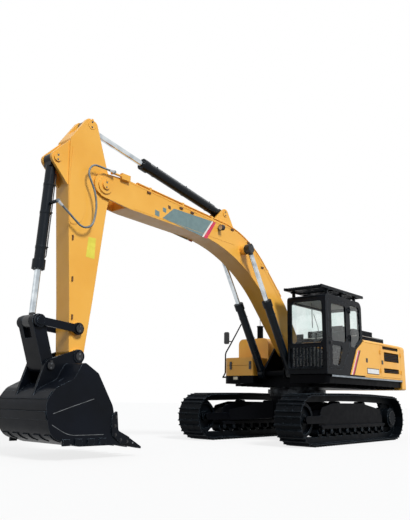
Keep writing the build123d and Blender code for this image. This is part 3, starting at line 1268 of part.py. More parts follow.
with BuildPart() as bucket:
    with BuildSketch(side_plane(0)):
        filled(BUCKET_SIDE)
    extrude(amount=BUCKET_HALF_MOUTH, both=True)
    with BuildSketch(Plane.XY):
        bucket_plan(0)
    extrude(amount=2000, mode=Mode.INTERSECT)
    # Wear bands round the back and shrouds along the heel
    for zone, zone_length, turned, halves in (
            ((7475, 905), 130, -52, ((0, BUCKET_HALF_HEEL - 15),)),
            ((7505, 620), 110, -76, ((0, BUCKET_HALF_HEEL - 15),)),
            ((7330, 300), 190, -130, [(y, SHROUD_WIDTH / 2) for y in (-540, -270, 0, 270, 540)])):
        for middle, half in halves:
            with BuildSketch(side_plane(middle)):
                filled(BUCKET_SIDE)
                offset(amount=WEAR_THICKNESS)
                with Locations(Location(zone, turned)):
                    Rectangle(zone_length, 130, mode=Mode.INTERSECT)
            extrude(amount=half, both=True)
    for sign in (1, -1):
        with BuildSketch(side_plane(sign * (LINK_INNER_FACE + LINK_THICKNESS / 2))):
            tapered([(BUCKET_PIN, 108), (BUCKET_LINK_PIN, 100), ((7485, 790), 40), ((6790, 1250), 30)])
        extrude(amount=LINK_THICKNESS / 2, both=True)
        with BuildSketch(side_plane(sign * 400)):
            tapered([((7110, 1110), 40), ((7440, 880), 40)])
        extrude(amount=10, both=True)
        with Locations(Location((BUCKET_PIN[0], sign * (LINK_INNER_FACE + LINK_THICKNESS + 9), BUCKET_PIN[1]),
                                (90, 0, 0))):
            Cylinder(98, 18)
        with BuildSketch(side_plane(sign * (BUCKET_HALF_MOUTH + CUTTER_THICKNESS / 2 - 4))):
            filled([
                (6325, 700, 20),
                (6420, 620, 50),
                (6410, 340, 90),
                (6230, LIP_BOTTOM + 20, 30),
                (LIP_EDGE + 20, LIP_BOTTOM + 12, 0),
                (6060, 300, 0),
                (6285, 400, 50),
            ])
        extrude(amount=CUTTER_THICKNESS / 2, both=True)
        for x in (6560, 6770, 6980, 7180):
            half_width = bucket_half_width(x)
            with Locations((x, sign * (half_width + 2), LIP_BOTTOM + 62)):
                Box(120, 34, 90)
    add(bucket_inside.part, mode=Mode.SUBTRACT)
    for centre, radius in ((BUCKET_PIN, 50), (BUCKET_LINK_PIN, 45)):
        with Locations(Location((centre[0], 0, centre[1]), (90, 0, 0))):
            Cylinder(radius, 2 * (LINK_INNER_FACE + LINK_THICKNESS) + 40)
save("bucket", bucket)

TOOTH_COUNT = 5
TOOTH_SPACING = 320
with BuildPart() as bucket_teeth:
    for index in range(TOOTH_COUNT):
        y = (index - (TOOTH_COUNT - 1) / 2) * TOOTH_SPACING
        with BuildSketch(side_plane(y)):
            filled([
                (6150, LIP_TOP, 0),
                (6150, LIP_TOP + 30, 0),
                (5985, LIP_TOP + 55, 20),
                (5745, 142, 8),
                (5752, 112, 8),
                (5960, LIP_BOTTOM - 45, 20),
                (6090, LIP_BOTTOM - 25, 0),
                (6090, LIP_BOTTOM, 0),
                (LIP_EDGE - 4, LIP_BOTTOM, 0),
                (LIP_EDGE - 4, LIP_TOP, 0),
            ])
        extrude(amount=50, both=True)
save("bucket_teeth", bucket_teeth)
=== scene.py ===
import json
import math

import bmesh
import bpy
from mathutils import Matrix, Vector


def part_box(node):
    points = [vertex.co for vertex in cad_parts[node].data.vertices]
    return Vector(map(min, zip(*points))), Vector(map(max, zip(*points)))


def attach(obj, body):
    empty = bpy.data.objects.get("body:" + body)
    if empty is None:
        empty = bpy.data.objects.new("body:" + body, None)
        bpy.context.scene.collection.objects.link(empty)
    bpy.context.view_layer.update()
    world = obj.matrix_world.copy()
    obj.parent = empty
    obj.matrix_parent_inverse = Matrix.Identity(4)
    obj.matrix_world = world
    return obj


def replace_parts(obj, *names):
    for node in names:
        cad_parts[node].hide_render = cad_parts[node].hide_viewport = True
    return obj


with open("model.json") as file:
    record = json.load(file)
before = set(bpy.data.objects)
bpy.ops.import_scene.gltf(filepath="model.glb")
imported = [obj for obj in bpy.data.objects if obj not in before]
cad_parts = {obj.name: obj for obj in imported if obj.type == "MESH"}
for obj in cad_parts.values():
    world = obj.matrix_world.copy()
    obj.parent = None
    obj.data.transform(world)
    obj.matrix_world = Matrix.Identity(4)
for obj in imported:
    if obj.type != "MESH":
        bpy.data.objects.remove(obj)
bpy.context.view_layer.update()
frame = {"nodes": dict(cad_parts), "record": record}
nodes = frame["nodes"]

# ---------------------------------------------------------------- colours and nodes


def paint(code):
    """An sRGB hex colour as linear RGBA."""
    steps = [int(code[i:i + 2], 16) / 255 for i in (1, 3, 5)]
    return [s / 12.92 if s <= 0.04045 else ((s + 0.055) / 1.055) ** 2.4 for s in steps] + [1.0]


def add(tree, kind, inputs=None, **settings):
    """One node with its settings. An input is a value, or a socket to link from."""
    node = tree.nodes.new(kind)
    for key, value in settings.items():
        setattr(node, key, value)
    for key, value in (inputs or {}).items():
        if isinstance(value, bpy.types.NodeSocket):
            tree.links.new(value, node.inputs[key])
        else:
            node.inputs[key].default_value = value
    return node


def new_finish(name, **shader_values):
    """A material with one Principled shader and its constant values."""
    material = bpy.data.materials.new(name)
    material.use_nodes = True
    tree = material.node_tree
    tree.nodes.clear()
    shader = add(tree, "ShaderNodeBsdfPrincipled", shader_values)
    add(tree, "ShaderNodeOutputMaterial", {"Surface": shader.outputs[0]})
    return material, tree, shader


def ramp(tree, source, low, high, low_at, high_at):
    """Two colours along a value, from low_at to high_at."""
    node = add(tree, "ShaderNodeValToRGB", {"Fac": source})
    node.color_ramp.elements[0].position = low_at
    node.color_ramp.elements[0].color = low
    node.color_ramp.elements[1].position = high_at
    node.color_ramp.elements[1].color = high
    return node


def zone(tree, place, low, high):
    """1 inside a box in Object coordinates, 0 outside."""
    middle = (Vector(low) + Vector(high)) / 2
    half = (Vector(high) - Vector(low)) / 2
    off = add(tree, "ShaderNodeVectorMath", {0: place, 1: middle}, operation="SUBTRACT")
    off = add(tree, "ShaderNodeVectorMath", {0: off.outputs[0]}, operation="ABSOLUTE")
    off = add(tree, "ShaderNodeVectorMath", {0: off.outputs[0], 1: half}, operation="DIVIDE")
    axes = add(tree, "ShaderNodeSeparateXYZ", {"Vector": off.outputs[0]})
    most = add(tree, "ShaderNodeMath", {0: axes.outputs["X"], 1: axes.outputs["Y"]}, operation="MAXIMUM")
    most = add(tree, "ShaderNodeMath", {0: most.outputs[0], 1: axes.outputs["Z"]}, operation="MAXIMUM")
    return add(tree, "ShaderNodeMath", {0: most.outputs[0], 1: 1.0}, operation="LESS_THAN").outputs[0]


def round_pin(tree, place, x, z, radius):
    """1 within a radius of a pin's axis, which runs along Y, 0 outside."""
    off = add(tree, "ShaderNodeVectorMath", {0: place, 1: (x, 0, z)}, operation="SUBTRACT")
    flat = add(tree, "ShaderNodeVectorMath", {0: off.outputs[0], 1: (1, 0, 1)}, operation="MULTIPLY")
    far = add(tree, "ShaderNodeVectorMath", {0: flat.outputs[0]}, operation="LENGTH")
    return add(tree, "ShaderNodeMath", {0: far.outputs["Value"], 1: radius}, operation="LESS_THAN").outputs[0]


def any_of(tree, masks):
    """The largest of several masks."""
    most = masks[0]
    for mask in masks[1:]:
        most = add(tree, "ShaderNodeMath", {0: most, 1: mask}, operation="MAXIMUM").outputs[0]
    return most


def enamel(name, colour, shade, dust, roughness, coat, peel_mm=14, dust_share=0.35, edge=None, edge_share=0.0,
           black_zones=(), **shader_values):
    """Sprayed enamel on welded plate: a cloud of shade, orange peel, dust on what faces up, edge wear, and on
    the black finishes a painted highlight in the edge colour.
    """
    material, tree, shader = new_finish(
        name, **{"Coat Weight": coat, "Coat Roughness": 0.08, **shader_values})
    place = add(tree, "ShaderNodeTexCoord").outputs["Object"]
    cloud = add(tree, "ShaderNodeTexNoise", {"Vector": place, "Scale": 0.9, "Detail": 3.0, "Roughness": 0.55})
    tone = ramp(tree, cloud.outputs["Fac"], paint(shade), paint(colour), 0.34, 0.58)
    grime = add(tree, "ShaderNodeTexNoise", {"Vector": place, "Scale": 7.0, "Detail": 6.0, "Roughness": 0.65})
    surface = add(tree, "ShaderNodeNewGeometry")
    facing = add(tree, "ShaderNodeSeparateXYZ", {"Vector": surface.outputs["Normal"]})
    settled = add(tree, "ShaderNodeMapRange", {"Value": facing.outputs["Z"], "From Min": 0.2, "From Max": 1.0,
                                               "To Min": 0.03, "To Max": dust_share})
    speck = add(tree, "ShaderNodeMapRange",
                {"Value": grime.outputs["Fac"], "From Min": 0.35, "From Max": 0.7})
    dusty = add(tree, "ShaderNodeMath", {0: settled.outputs[0], 1: speck.outputs[0]}, operation="MULTIPLY")
    top = add(tree, "ShaderNodeMix",
              {"Factor": dusty.outputs[0], "A": tone.outputs["Color"], "B": paint(dust)},
              data_type="RGBA")
    colour_out = top.outputs["Result"]
    smooth = add(tree, "ShaderNodeBevel", {"Radius": 0.006}, samples=4)
    # The edge colour is drawn along every sharp edge: on amber it is wear, on the black finishes it is a
    # light blue-grey that is partly wear and partly painted highlight.
    if edge:
        sharp = add(tree, "ShaderNodeVectorMath", {0: smooth.outputs[0], 1: surface.outputs["True Normal"]},
                    operation="DOT_PRODUCT")
        edge_wear_and_highlight_ramp = add(tree, "ShaderNodeMapRange", {"Value": sharp.outputs["Value"], "From Min": 0.98,
                                                  "From Max": 0.85, "To Max": edge_share})
        edge_wear_and_highlight_mask = add(tree, "ShaderNodeMath", {0: edge_wear_and_highlight_ramp.outputs[0], 1: speck.outputs[0]}, operation="MULTIPLY")
        edge_wear_and_highlight_mix = add(tree, "ShaderNodeMix", {"Factor": edge_wear_and_highlight_mask.outputs[0], "A": colour_out, "B": paint(edge)},
                   data_type="RGBA")
        colour_out = edge_wear_and_highlight_mix.outputs["Result"]
    if black_zones:
        masked = any_of(tree, [zone(tree, place, low, high) for low, high in black_zones])
        painted = add(tree, "ShaderNodeMix", {"Factor": masked, "A": colour_out, "B": paint("#0C0D10")},
                      data_type="RGBA")
        colour_out = painted.outputs["Result"]
    tree.links.new(colour_out, shader.inputs["Base Color"])
    gloss = add(tree, "ShaderNodeMapRange", {"Value": grime.outputs["Fac"], "From Min": 0.3, "From Max": 0.75,
                                             "To Min": roughness, "To Max": min(1.0, roughness + 0.2)})
    tree.links.new(gloss.outputs[0], shader.inputs["Roughness"])
    peel = add(tree, "ShaderNodeTexNoise", {"Vector": place, "Scale": 1000 / peel_mm, "Detail": 2.0})
    bump = add(tree, "ShaderNodeBump", {"Strength": 0.06, "Distance": 0.002, "Height": peel.outputs["Fac"],
                                        "Normal": smooth.outputs[0]})
    tree.links.new(bump.outputs[0], shader.inputs["Normal"])
    return material


# Two-pack polyurethane, sprayed over primer on welded plate. It gives the eye a deep amber with a soft clear
# gloss; its orange peel is really 2 to 4 mm across and is drawn at 14 mm.
AMBER = ("#F3B446", "#ECA938", "#D6C398", 0.34, 0.14)
amber = enamel("amber_polyurethane", *AMBER, dust_share=0.08, edge="#B07F34", edge_share=0.2)
# The same paint system in satin black on chassis plate, faintly dusty where it faces up; its edges get a
# light blue-grey that is partly wear and partly painted highlight.
chassis_black = enamel("satin_chassis_black", "#030407", "#050609", "#24262A", 0.4, 0.0, dust_share=0.06,
                       edge="#39434E", edge_share=0.7, **{"Specular IOR Level": 0.04})
# Powder-coated cab frame: a little bluer and glossier than the chassis; its edges get a pale blue-grey that
# is partly wear and partly painted highlight.
cab_black = enamel("powder_coated_cab_black", "#04070C", "#080D14", "#2E3640", 0.22, 0.0, dust_share=0.06,
                   edge="#71808C", edge_share=1.0, **{"Specular IOR Level": 0.08})
# Forged and rolled track steel: unpainted, dark brown-black mill scale; its edges, the grousers' most of all,
# get a bright blue-grey that is partly wear and partly painted highlight.
track_scale = enamel("rolled_track_steel", "#03060A", "#060A0F", "#2E3338", 0.42, 0.0, peel_mm=22,
                     dust_share=0.14, edge="#6A7A86", edge_share=1.0, **{"Specular IOR Level": 0.06})
# Bucket plate under thin black paint; its edges get a blue-grey that is partly scratches and wear through to
# the steel and partly painted highlight.
bucket_black = enamel("bucket_black_wear_and_edge_highlight", "#05080E", "#0A0F18", "#2A3038", 0.32, 0.05, peel_mm=18,
                      dust_share=0.12, edge="#7C8B98", edge_share=1.0, **{"Specular IOR Level": 0.08})
# Slate blue-black gloss enamel on the drawn barrel tubes; its edges get a blue-grey that is partly wear and
# partly painted highlight.
barrel_slate = enamel("slate_gloss_enamel", "#0A121A", "#070C12", "#3B4348", 0.24, 0.08, dust_share=0.05,
                      edge="#5C6B78", edge_share=0.8, **{"Specular IOR Level": 0.12})
# Grey enamel on cast iron, oily and rough from the sand mould, whose 1 mm grain is drawn at 9 mm.
iron_grey = enamel("grey_cast_iron", "#4A4C4E", "#3B3D3E", "#6B6255", 0.6, 0.0, peel_mm=9, dust_share=0.3)
# Injection-moulded ABS with a fine spark-eroded grain, 0.5 mm in the mould and drawn at 5 mm.
abs_grey = enamel("moulded_grey_abs", "#2C2D2F", "#252628", "#57534C", 0.55, 0.0, peel_mm=5, dust_share=0.1)


def chrome(name, x, z):
    """Hard chrome ground round the rod: a mirror clouded by a thin oil film, and a black forged eye."""
    material, tree, shader = new_finish(name)
    place = add(tree, "ShaderNodeTexCoord").outputs["Object"]
    film = add(tree, "ShaderNodeTexNoise", {"Vector": place, "Scale": 6.0, "Detail": 4.0})
    bright = ramp(tree, film.outputs["Fac"], paint("#AEB6BC"), paint("#D6DCDF"), 0.35, 0.6)
    cloudy = add(tree, "ShaderNodeMapRange", {"Value": film.outputs["Fac"], "From Min": 0.4, "From Max": 0.7,
                                              "To Min": 0.12, "To Max": 0.24})
    eye = round_pin(tree, place, x, z, 0.135)
    colour = add(tree, "ShaderNodeMix", {"Factor": eye, "A": bright.outputs["Color"], "B": paint("#0D0F13")},
                 data_type="RGBA")
    rough = add(tree, "ShaderNodeMapRange", {"Value": eye, "To Min": cloudy.outputs[0], "To Max": 0.4})
    metal = add(tree, "ShaderNodeMath", {0: 1.0, 1: eye}, operation="SUBTRACT")
    tree.links.new(colour.outputs["Result"], shader.inputs["Base Color"])
    tree.links.new(rough.outputs[0], shader.inputs["Roughness"])
    tree.links.new(metal.outputs[0], shader.inputs["Metallic"])
    return material


def moulded(name, colour, shade, roughness, grain_mm=5, depth=0.2, **shader_values):
    """A small part's finish: two near tones in a cloud and a fine grain, drawn at grain_mm."""
    material, tree, shader = new_finish(name, **shader_values)
    place = add(tree, "ShaderNodeTexCoord").outputs["Object"]
    cloud = add(tree, "ShaderNodeTexNoise", {"Vector": place, "Scale": 9.0, "Detail": 4.0})
    tone = ramp(tree, cloud.outputs["Fac"], paint(shade), paint(colour), 0.38, 0.6)
    tree.links.new(tone.outputs["Color"], shader.inputs["Base Color"])
    rough = add(tree, "ShaderNodeMapRange",
                {"Value": cloud.outputs["Fac"], "From Min": 0.35, "From Max": 0.65,
                 "To Min": roughness, "To Max": min(1.0, roughness + 0.15)})
    tree.links.new(rough.outputs[0], shader.inputs["Roughness"])
    grain = add(tree, "ShaderNodeTexNoise", {"Vector": place, "Scale": 1000 / grain_mm, "Detail": 2.0})
    bump = add(tree, "ShaderNodeBump", {"Strength": depth, "Distance": 0.001, "Height": grain.outputs["Fac"]})
    tree.links.new(bump.outputs[0], shader.inputs["Normal"])
    return material


# Machined and greased bearing steel: bright grey, darker where the grease has caught dust.
bearing_steel, tree, shader = new_finish("greased_bearing_steel", **{"Metallic": 1.0})
place = add(tree, "ShaderNodeTexCoord").outputs["Object"]
grease = add(tree, "ShaderNodeTexNoise", {"Vector": place, "Scale": 5.0, "Detail": 5.0, "Roughness": 0.6})
tree.links.new(ramp(tree, grease.outputs["Fac"], paint("#0E0E10"), paint("#2E3134"), 0.4, 0.62).outputs[0],
               shader.inputs["Base Color"])
matt = add(tree, "ShaderNodeMapRange", {"Value": grease.outputs["Fac"], "From Min": 0.4, "From Max": 0.62,
                                        "To Min": 0.65, "To Max": 0.3})
tree.links.new(matt.outputs[0], shader.inputs["Roughness"])

# Toughened safety glass, 6 mm, with a faint green body tint and a film of dust that barely clouds it.
cab_pane, tree, shader = new_finish(
    "toughened_glass", **{"Transmission Weight": 1.0, "IOR": 1.3, "Specular IOR Level": 0.6})
place = add(tree, "ShaderNodeTexCoord").outputs["Object"]
haze = add(tree, "ShaderNodeTexNoise", {"Vector": place, "Scale": 2.4, "Detail": 4.0})
tree.links.new(ramp(tree, haze.outputs["Fac"], paint("#E9F2F0"), paint("#F6FAF9"), 0.35, 0.65).outputs[0],
               shader.inputs["Base Color"])
dull = add(tree, "ShaderNodeMapRange", {"Value": haze.outputs["Fac"], "From Min": 0.4, "From Max": 0.7,
                                        "To Min": 0.0, "To Max": 0.04})
tree.links.new(dull.outputs[0], shader.inputs["Roughness"])

# Woven polyester seat cloth in charcoal, its 1.5 mm basket weave drawn at 6 mm.
seat_cloth, tree, shader = new_finish("charcoal_seat_cloth", **{"Sheen Weight": 0.3, "Roughness": 0.9})
place = add(tree, "ShaderNodeTexCoord").outputs["Object"]
warp = add(tree, "ShaderNodeTexWave", {"Vector": place, "Scale": 1000 / 6 / 3.1, "Distortion": 0.6},
           wave_type="BANDS", bands_direction="Z")
weft = add(tree, "ShaderNodeTexWave", {"Vector": place, "Scale": 1000 / 6 / 3.1, "Distortion": 0.6},
           wave_type="BANDS", bands_direction="Y")
weave = add(tree, "ShaderNodeMath", {0: warp.outputs["Fac"], 1: weft.outputs["Fac"]}, operation="MULTIPLY")
tree.links.new(ramp(tree, weave.outputs[0], paint("#1D1E21"), paint("#3A3C40"), 0.1, 0.9).outputs[0],
               shader.inputs["Base Color"])
tree.links.new(add(tree, "ShaderNodeBump", {"Strength": 0.4, "Distance": 0.001,
                                            "Height": weave.outputs[0]}).outputs[0], shader.inputs["Normal"])

# Zinc-plated and chromated fasteners, dulled.
zinc = moulded("chromated_zinc_bolt", "#7C7F82", "#5E6164", 0.35, Metallic=1.0)
# Black oxide fasteners and forged caps.
black_oxide = moulded("black_oxide_steel", "#14161A", "#0D0E11", 0.38)
# Nitrile hose cover and door seals: matt black-grey.
rubber = moulded("matt_nitrile_rubber", "#1A1B1E", "#131416", 0.6, grain_mm=8)
# Nylon-sleeved pressure hose in cool grey.
sleeve = moulded("grey_hose_sleeve", "#7D868B", "#626B70", 0.45, grain_mm=7, depth=0.4)
# Painted plates and vinyl films, all blank.
slate_plate = moulded("grey_teal_painted_plate", "#71898A", "#688082", 0.4, grain_mm=14)
white_film = moulded("white_vinyl_film", "#E9EAEA", "#DFE1E2", 0.35, grain_mm=14)
red_film = moulded("rose_red_vinyl_film", "#D83A5C", "#C93050", 0.35, grain_mm=14)
label_film = moulded("yellow_label_film", "#E8DC52", "#DED046", 0.4, grain_mm=14)
brown_film = moulded("umber_painted_clip", "#5F3B1C", "#4C2F17", 0.5)
# Bright anodised trim and machined aluminium.
trim = moulded("brushed_aluminium_trim", "#C9CDD0", "#B5BABE", 0.28, Metallic=1.0)
# Satin grey strip along the deck's ledge: a painted highlight where the ledge's edge catches the light.
ledge_highlight_grey = moulded("painted_highlight_ledge_grey", "#8B949B", "#6E777E", 0.3, grain_mm=12)
# Light grey moulded lining of the cab.
lining = moulded("pale_cab_lining", "#8D9496", "#7F8688", 0.6, grain_mm=6)
# Ribbed polycarbonate lamp glass, warm white.
lens = moulded("warm_lamp_lens", "#D9D0B4", "#C9BE9C", 0.12, grain_mm=12, depth=0.6, **{"Coat Weight": 0.6})

joint_at = {joint["name"]: joint["pos_m"] for joint in frame["record"]["behaviour"]["joints"]
            if "pos_m" in joint}


def pin(name):
    """A hinge's place in the machine's middle plane, as (x, z)."""
    return joint_at[name][0], joint_at[name][2]


FOOT, TIP, BUCKET_PIN = pin("boom_lift"), pin("arm_swing"), pin("bucket_curl")
LINK_PIN, H_PIN, BARREL_PIN = pin("side_link_swing"), pin("h_link_swing"), pin("bucket_cylinder_tilt")
BOOM_BARREL_PIN, ARM_BARREL_PIN = pin("boom_cylinder_tilt"), pin("arm_cylinder_tilt")
BOOM_HEAD, ARM_HEAD, ROD_PIN = (2.46, 4.09), (6.71, 5.46), (7.47, 1.985)
boom_chrome = chrome("ground_hard_chrome_boom", *BOOM_HEAD)
arm_chrome = chrome("ground_hard_chrome_arm", *ARM_HEAD)
bucket_chrome = chrome("ground_hard_chrome_bucket", *ROD_PIN)

# The rear doors' louvres get black on amber nodes, painted shade in their openings; the tool box's latches
# are black on amber nodes.
LOUVRES = ((-2.57, -1.64, 2.18, 2.256), (-2.60, -1.715, 1.885, 2.113), (-2.605, -1.69, 1.60, 1.714))
amber_with_louvre_shade = enamel(
    "amber_polyurethane_louvre_shade", *AMBER, dust_share=0.08, edge="#B07F34", edge_share=0.2,
    black_zones=[((rear, -2, low), (front, 2, high)) for rear, front, low, high in LOUVRES])
latched_amber = enamel("amber_polyurethane_latched", *AMBER, dust_share=0.08, edge="#B07F34", edge_share=0.2,
                       black_zones=[((1.071, -1.4, 1.4), (1.2, -0.4, 1.9))])

FINISHES = {
    "yellow_paint": amber, "black_paint": chassis_black, "track_steel": track_scale,
    "bucket_steel": bucket_black, "cylinder_paint": barrel_slate, "rod_chrome": boom_chrome,
    "glass": cab_pane,
    "seat_cover": seat_cloth, "grey_plastic": abs_grey, "engine_iron": iron_grey,
    "bearing_steel": bearing_steel,
}
OWN_FINISHES = {
    "arm_rod": arm_chrome, "bucket_rod": bucket_chrome, "side_door_left_rear": amber_with_louvre_shade,
    "side_door_right_rear": amber_with_louvre_shade, "tool_box": latched_amber, "tool_box_lid": latched_amber,
    "cab_shell": cab_black, "cab_door": cab_black, "cab_grille": cab_black, "roof_guard": cab_black,
    "arm_hose": sleeve, "boom_lamp": black_oxide,
}
for part in frame["record"]["subparts"]:
    node = nodes[part["node"]]
    node.data.materials.clear()
    node.data.materials.append(OWN_FINISHES.get(part["node"], FINISHES[part["material_slot"]]))

# ---------------------------------------------------------------- ways to make a piece


def piece(name, body, material, draw, bevel=0.0):
    """A piece that rides on a body. draw fills its bmesh where it stands, in metres."""
    bm = bmesh.new()
    draw(bm)
    bmesh.ops.recalc_face_normals(bm, faces=bm.faces)
    mesh = bpy.data.meshes.new(name)
    bm.to_mesh(mesh)
    bm.free()
    mesh.materials.append(material)
    obj = bpy.data.objects.new(name, mesh)
    bpy.context.scene.collection.objects.link(obj)
    if bevel:
        rounding = obj.modifiers.new("rounding", "BEVEL")
        rounding.width = bevel
        rounding.segments = 2
        rounding.limit_method = "ANGLE"
    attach(obj, body)
    return obj


def block(bm, low, high):
    size = Vector(high) - Vector(low)
    place = Matrix.Translation((Vector(low) + Vector(high)) / 2) @ Matrix.Diagonal((*size, 1))
    bmesh.ops.create_cube(bm, size=1, matrix=place)


def rod(bm, start, end, radius, sides=16, end_radius=None):
    run = Vector(end) - Vector(start)
    turned = run.to_track_quat("Z", "Y").to_matrix().to_4x4()
    place = Matrix.Translation((Vector(start) + Vector(end)) / 2) @ turned
    bmesh.ops.create_cone(bm, cap_ends=True, segments=sides, depth=run.length, matrix=place, radius1=radius,
                          radius2=radius if end_radius is None else end_radius)


def collar(bm, start, end, inner, outer, sides=28):
    """A hollow band between two radii, open through its middle for what runs inside it."""
    run = Vector(end) - Vector(start)
    place = Matrix.Translation(Vector(start)) @ run.to_track_quat("Z", "Y").to_matrix().to_4x4()
    loops = [[bm.verts.new(place @ Vector((radius * math.cos(2 * math.pi * k / sides),
                                           radius * math.sin(2 * math.pi * k / sides), along)))
              for k in range(sides)]
             for radius, along in ((inner, 0), (outer, 0), (outer, run.length), (inner, run.length))]
    for a, b in zip(loops, loops[1:] + loops[:1]):
        for k in range(sides):
            bm.faces.new((a[k], a[(k + 1) % sides], b[(k + 1) % sides], b[k]))


def rounded(points, radius, steps=5):
    """A run of points with each inner corner turned on an arc."""
    points = [Vector(point) for point in points]
    route = [points[0]]
    for before, corner, after in zip(points, points[1:], points[2:]):
        back = (before - corner).normalized()
        on = (after - corner).normalized()
        reach = min(radius / math.tan(max(back.angle(on) / 2, 0.05)),
                    0.45 * min((before - corner).length, (after - corner).length))
        start, end = corner + back * reach, corner + on * reach
        for step in range(steps + 1):
            share = step / steps
            route.append((1 - share) ** 2 * start + 2 * share * (1 - share) * corner + share ** 2 * end)
    return route + [points[-1]]


def tube(bm, points, radius, sides=8):
    """A round tube along a run of points, with closed ends."""
    rings = []
    side = None
    for index, point in enumerate(points):
        ahead = (points[min(index + 1, len(points) - 1)] - points[max(index - 1, 0)]).normalized()
        if side is None:
            side = ahead.cross(Vector((0, 1, 0) if abs(ahead.y) < 0.9 else (1, 0, 0)))
        side = (side - ahead * side.dot(ahead)).normalized()
        other = ahead.cross(side)
        rings.append([bm.verts.new(point + radius * (math.cos(turn) * side + math.sin(turn) * other))
                      for turn in (2 * math.pi * k / sides for k in range(sides))])
    for a, b in zip(rings, rings[1:]):
        for k in range(sides):
            bm.faces.new((a[k], a[(k + 1) % sides], b[(k + 1) % sides], b[k]))
    bm.faces.new(rings[0])
    bm.faces.new(list(reversed(rings[-1])))


def plate(bm, corners, y, thickness):
    """A flat plate in the XZ plane from its (x, z) corners, grown by a thickness along Y."""
    near, far = ([bm.verts.new((x, y, z)) for x, z in corners] for _ in range(2))
    bmesh.ops.translate(bm, verts=far, vec=(0, thickness, 0))
    bm.faces.new(near)
    bm.faces.new(list(reversed(far)))
    for k in range(len(corners)):
        after = (k + 1) % len(corners)
        bm.faces.new((near[after], near[k], far[k], far[after]))


def ring_of(centre, radius, count, start=0.0):
    """(x, z) places evenly round a circle."""
    return [(centre[0] + radius * math.cos(start + 2 * math.pi * k / count),
             centre[1] + radius * math.sin(start + 2 * math.pi * k / count)) for k in range(count)]


def bolt_heads(bm, places, y, sign, radius=0.014, height=0.012):
    """Hexagon heads on a face square to Y, each on a washer."""
    for x, z in places:
        rod(bm, (x, y, z), (x, y + sign * 0.003, z), radius * 1.5, 12)
        rod(bm, (x, y + sign * 0.003, z), (x, y + sign * height, z), radius, 6)


def at_side(a, b, along, off):
    """A point along the line from a to b and off it to the left, as (x, z)."""
    run = math.dist(a, b)
    ux, uz = (b[0] - a[0]) / run, (b[1] - a[1]) / run
    return a[0] + ux * along - uz * off, a[1] + uz * along + ux * off


# ---------------------------------------------------------------- pins, caps and bolts

# body, pin, outer face, cap radius
CAPS = (("house", FOOT, 0.300, 0.105, amber), ("boom", TIP, 0.250, 0.078, amber),
        ("boom_cylinder_rods", BOOM_HEAD, 0.450, 0.092, black_oxide),
        ("arm", BARREL_PIN, 0.165, 0.07, amber), ("arm", ARM_HEAD, 0.170, 0.085, amber),
        ("arm", LINK_PIN, 0.260, 0.066, black_oxide), ("bucket", BUCKET_PIN, 0.265, 0.066, black_oxide),
        ("bucket", H_PIN, 0.265, 0.06, black_oxide), ("boom", ARM_BARREL_PIN, 0.150, 0.07, amber))
for number, (body, (x, z), face, radius, material) in enumerate(CAPS):
    def cap(bm):
        for sign in (1, -1):
            rod(bm, (x, sign * face, z), (x, sign * (face + 0.006), z), radius, 28)
            block(bm, (x - 0.02, min(sign * face, sign * (face + 0.012)), z + radius - 0.02),
                  (x + 0.02, max(sign * face, sign * (face + 0.012)), z + radius + 0.018))
    piece(f"pin_cap_{number}", body, material, cap, bevel=0.002)

    def lock_bolts(bm):
        for sign in (1, -1):
            places = [(x, z + radius * 0.55), (x, z - radius * 0.55)]
            bolt_heads(bm, places, sign * (face + 0.005), sign, 0.011)
    piece(f"pin_bolts_{number}", body, zinc, lock_bolts)

# Bolt rings on the sprockets and idlers: node, hub's x, ring's radius, bolts
WHEEL_Z = 0.515
HUBS = (("sprockets", -1.955, 0.16, 14), ("idlers", 1.975, 0.07, 6))
for node, x, radius, count in HUBS:
    outer_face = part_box(node)[1][1]

    def ring(bm):
        for sign in (1, -1):
            bolt_heads(bm, ring_of((x, WHEEL_Z), radius, count), sign * (outer_face - 0.002), sign, 0.012)
    piece(f"{node}_bolts", "undercarriage", black_oxide, ring)

TRACK_MIDDLE_X = 0.05
SHOE_FLAT_AREA = 0.03   # each of the two triangles of a shoe's flat is larger than this, in square metres


def shoe_faces(node):
    """The middle and outward normal of each shoe's flat, from the diagonals of its two triangles."""
    mesh = nodes[node].data
    faces = {}
    for polygon in mesh.polygons:
        if abs(polygon.normal.y) > 0.01 or polygon.area < SHOE_FLAT_AREA or len(polygon.vertices) != 3:
            continue
        points = [mesh.vertices[index].co for index in polygon.vertices]
        a, b = max(zip(points, points[1:] + points[:1]), key=lambda edge: (edge[0] - edge[1]).length)
        middle = (a + b) / 2
        if polygon.normal.dot(middle - Vector((TRACK_MIDDLE_X, middle.y, WHEEL_Z))) > 0:
            faces[tuple(round(value, 3) for value in middle)] = polygon.normal.copy()
    return [(Vector(middle), normal) for middle, normal in sorted(faces.items())]


def shoe_bolts(bm):
    """Four bolt heads on each shoe, beside its grouser."""
    for node in ("track_left", "track_right"):
        for middle, normal in shoe_faces(node):
            along = normal.cross(Vector((0, 1, 0)))
            for dy in (-0.095, 0.095):
                for run in (-0.045, 0.045):
                    foot = middle + along * run + Vector((0, dy, 0))
                    rod(bm, foot - normal * 0.001, foot + normal * 0.013, 0.015, 6)


piece("shoe_bolts", "undercarriage", track_scale, shoe_bolts)

# ---------------------------------------------------------------- boom and arm

BOOM_FACE = 0.210
ARM_FACE = 0.170


def on_both_sides(face, corners, thickness):
    def draw(bm):
        for sign in (1, -1):
            plate(bm, corners, sign * face, sign * thickness)
    return draw


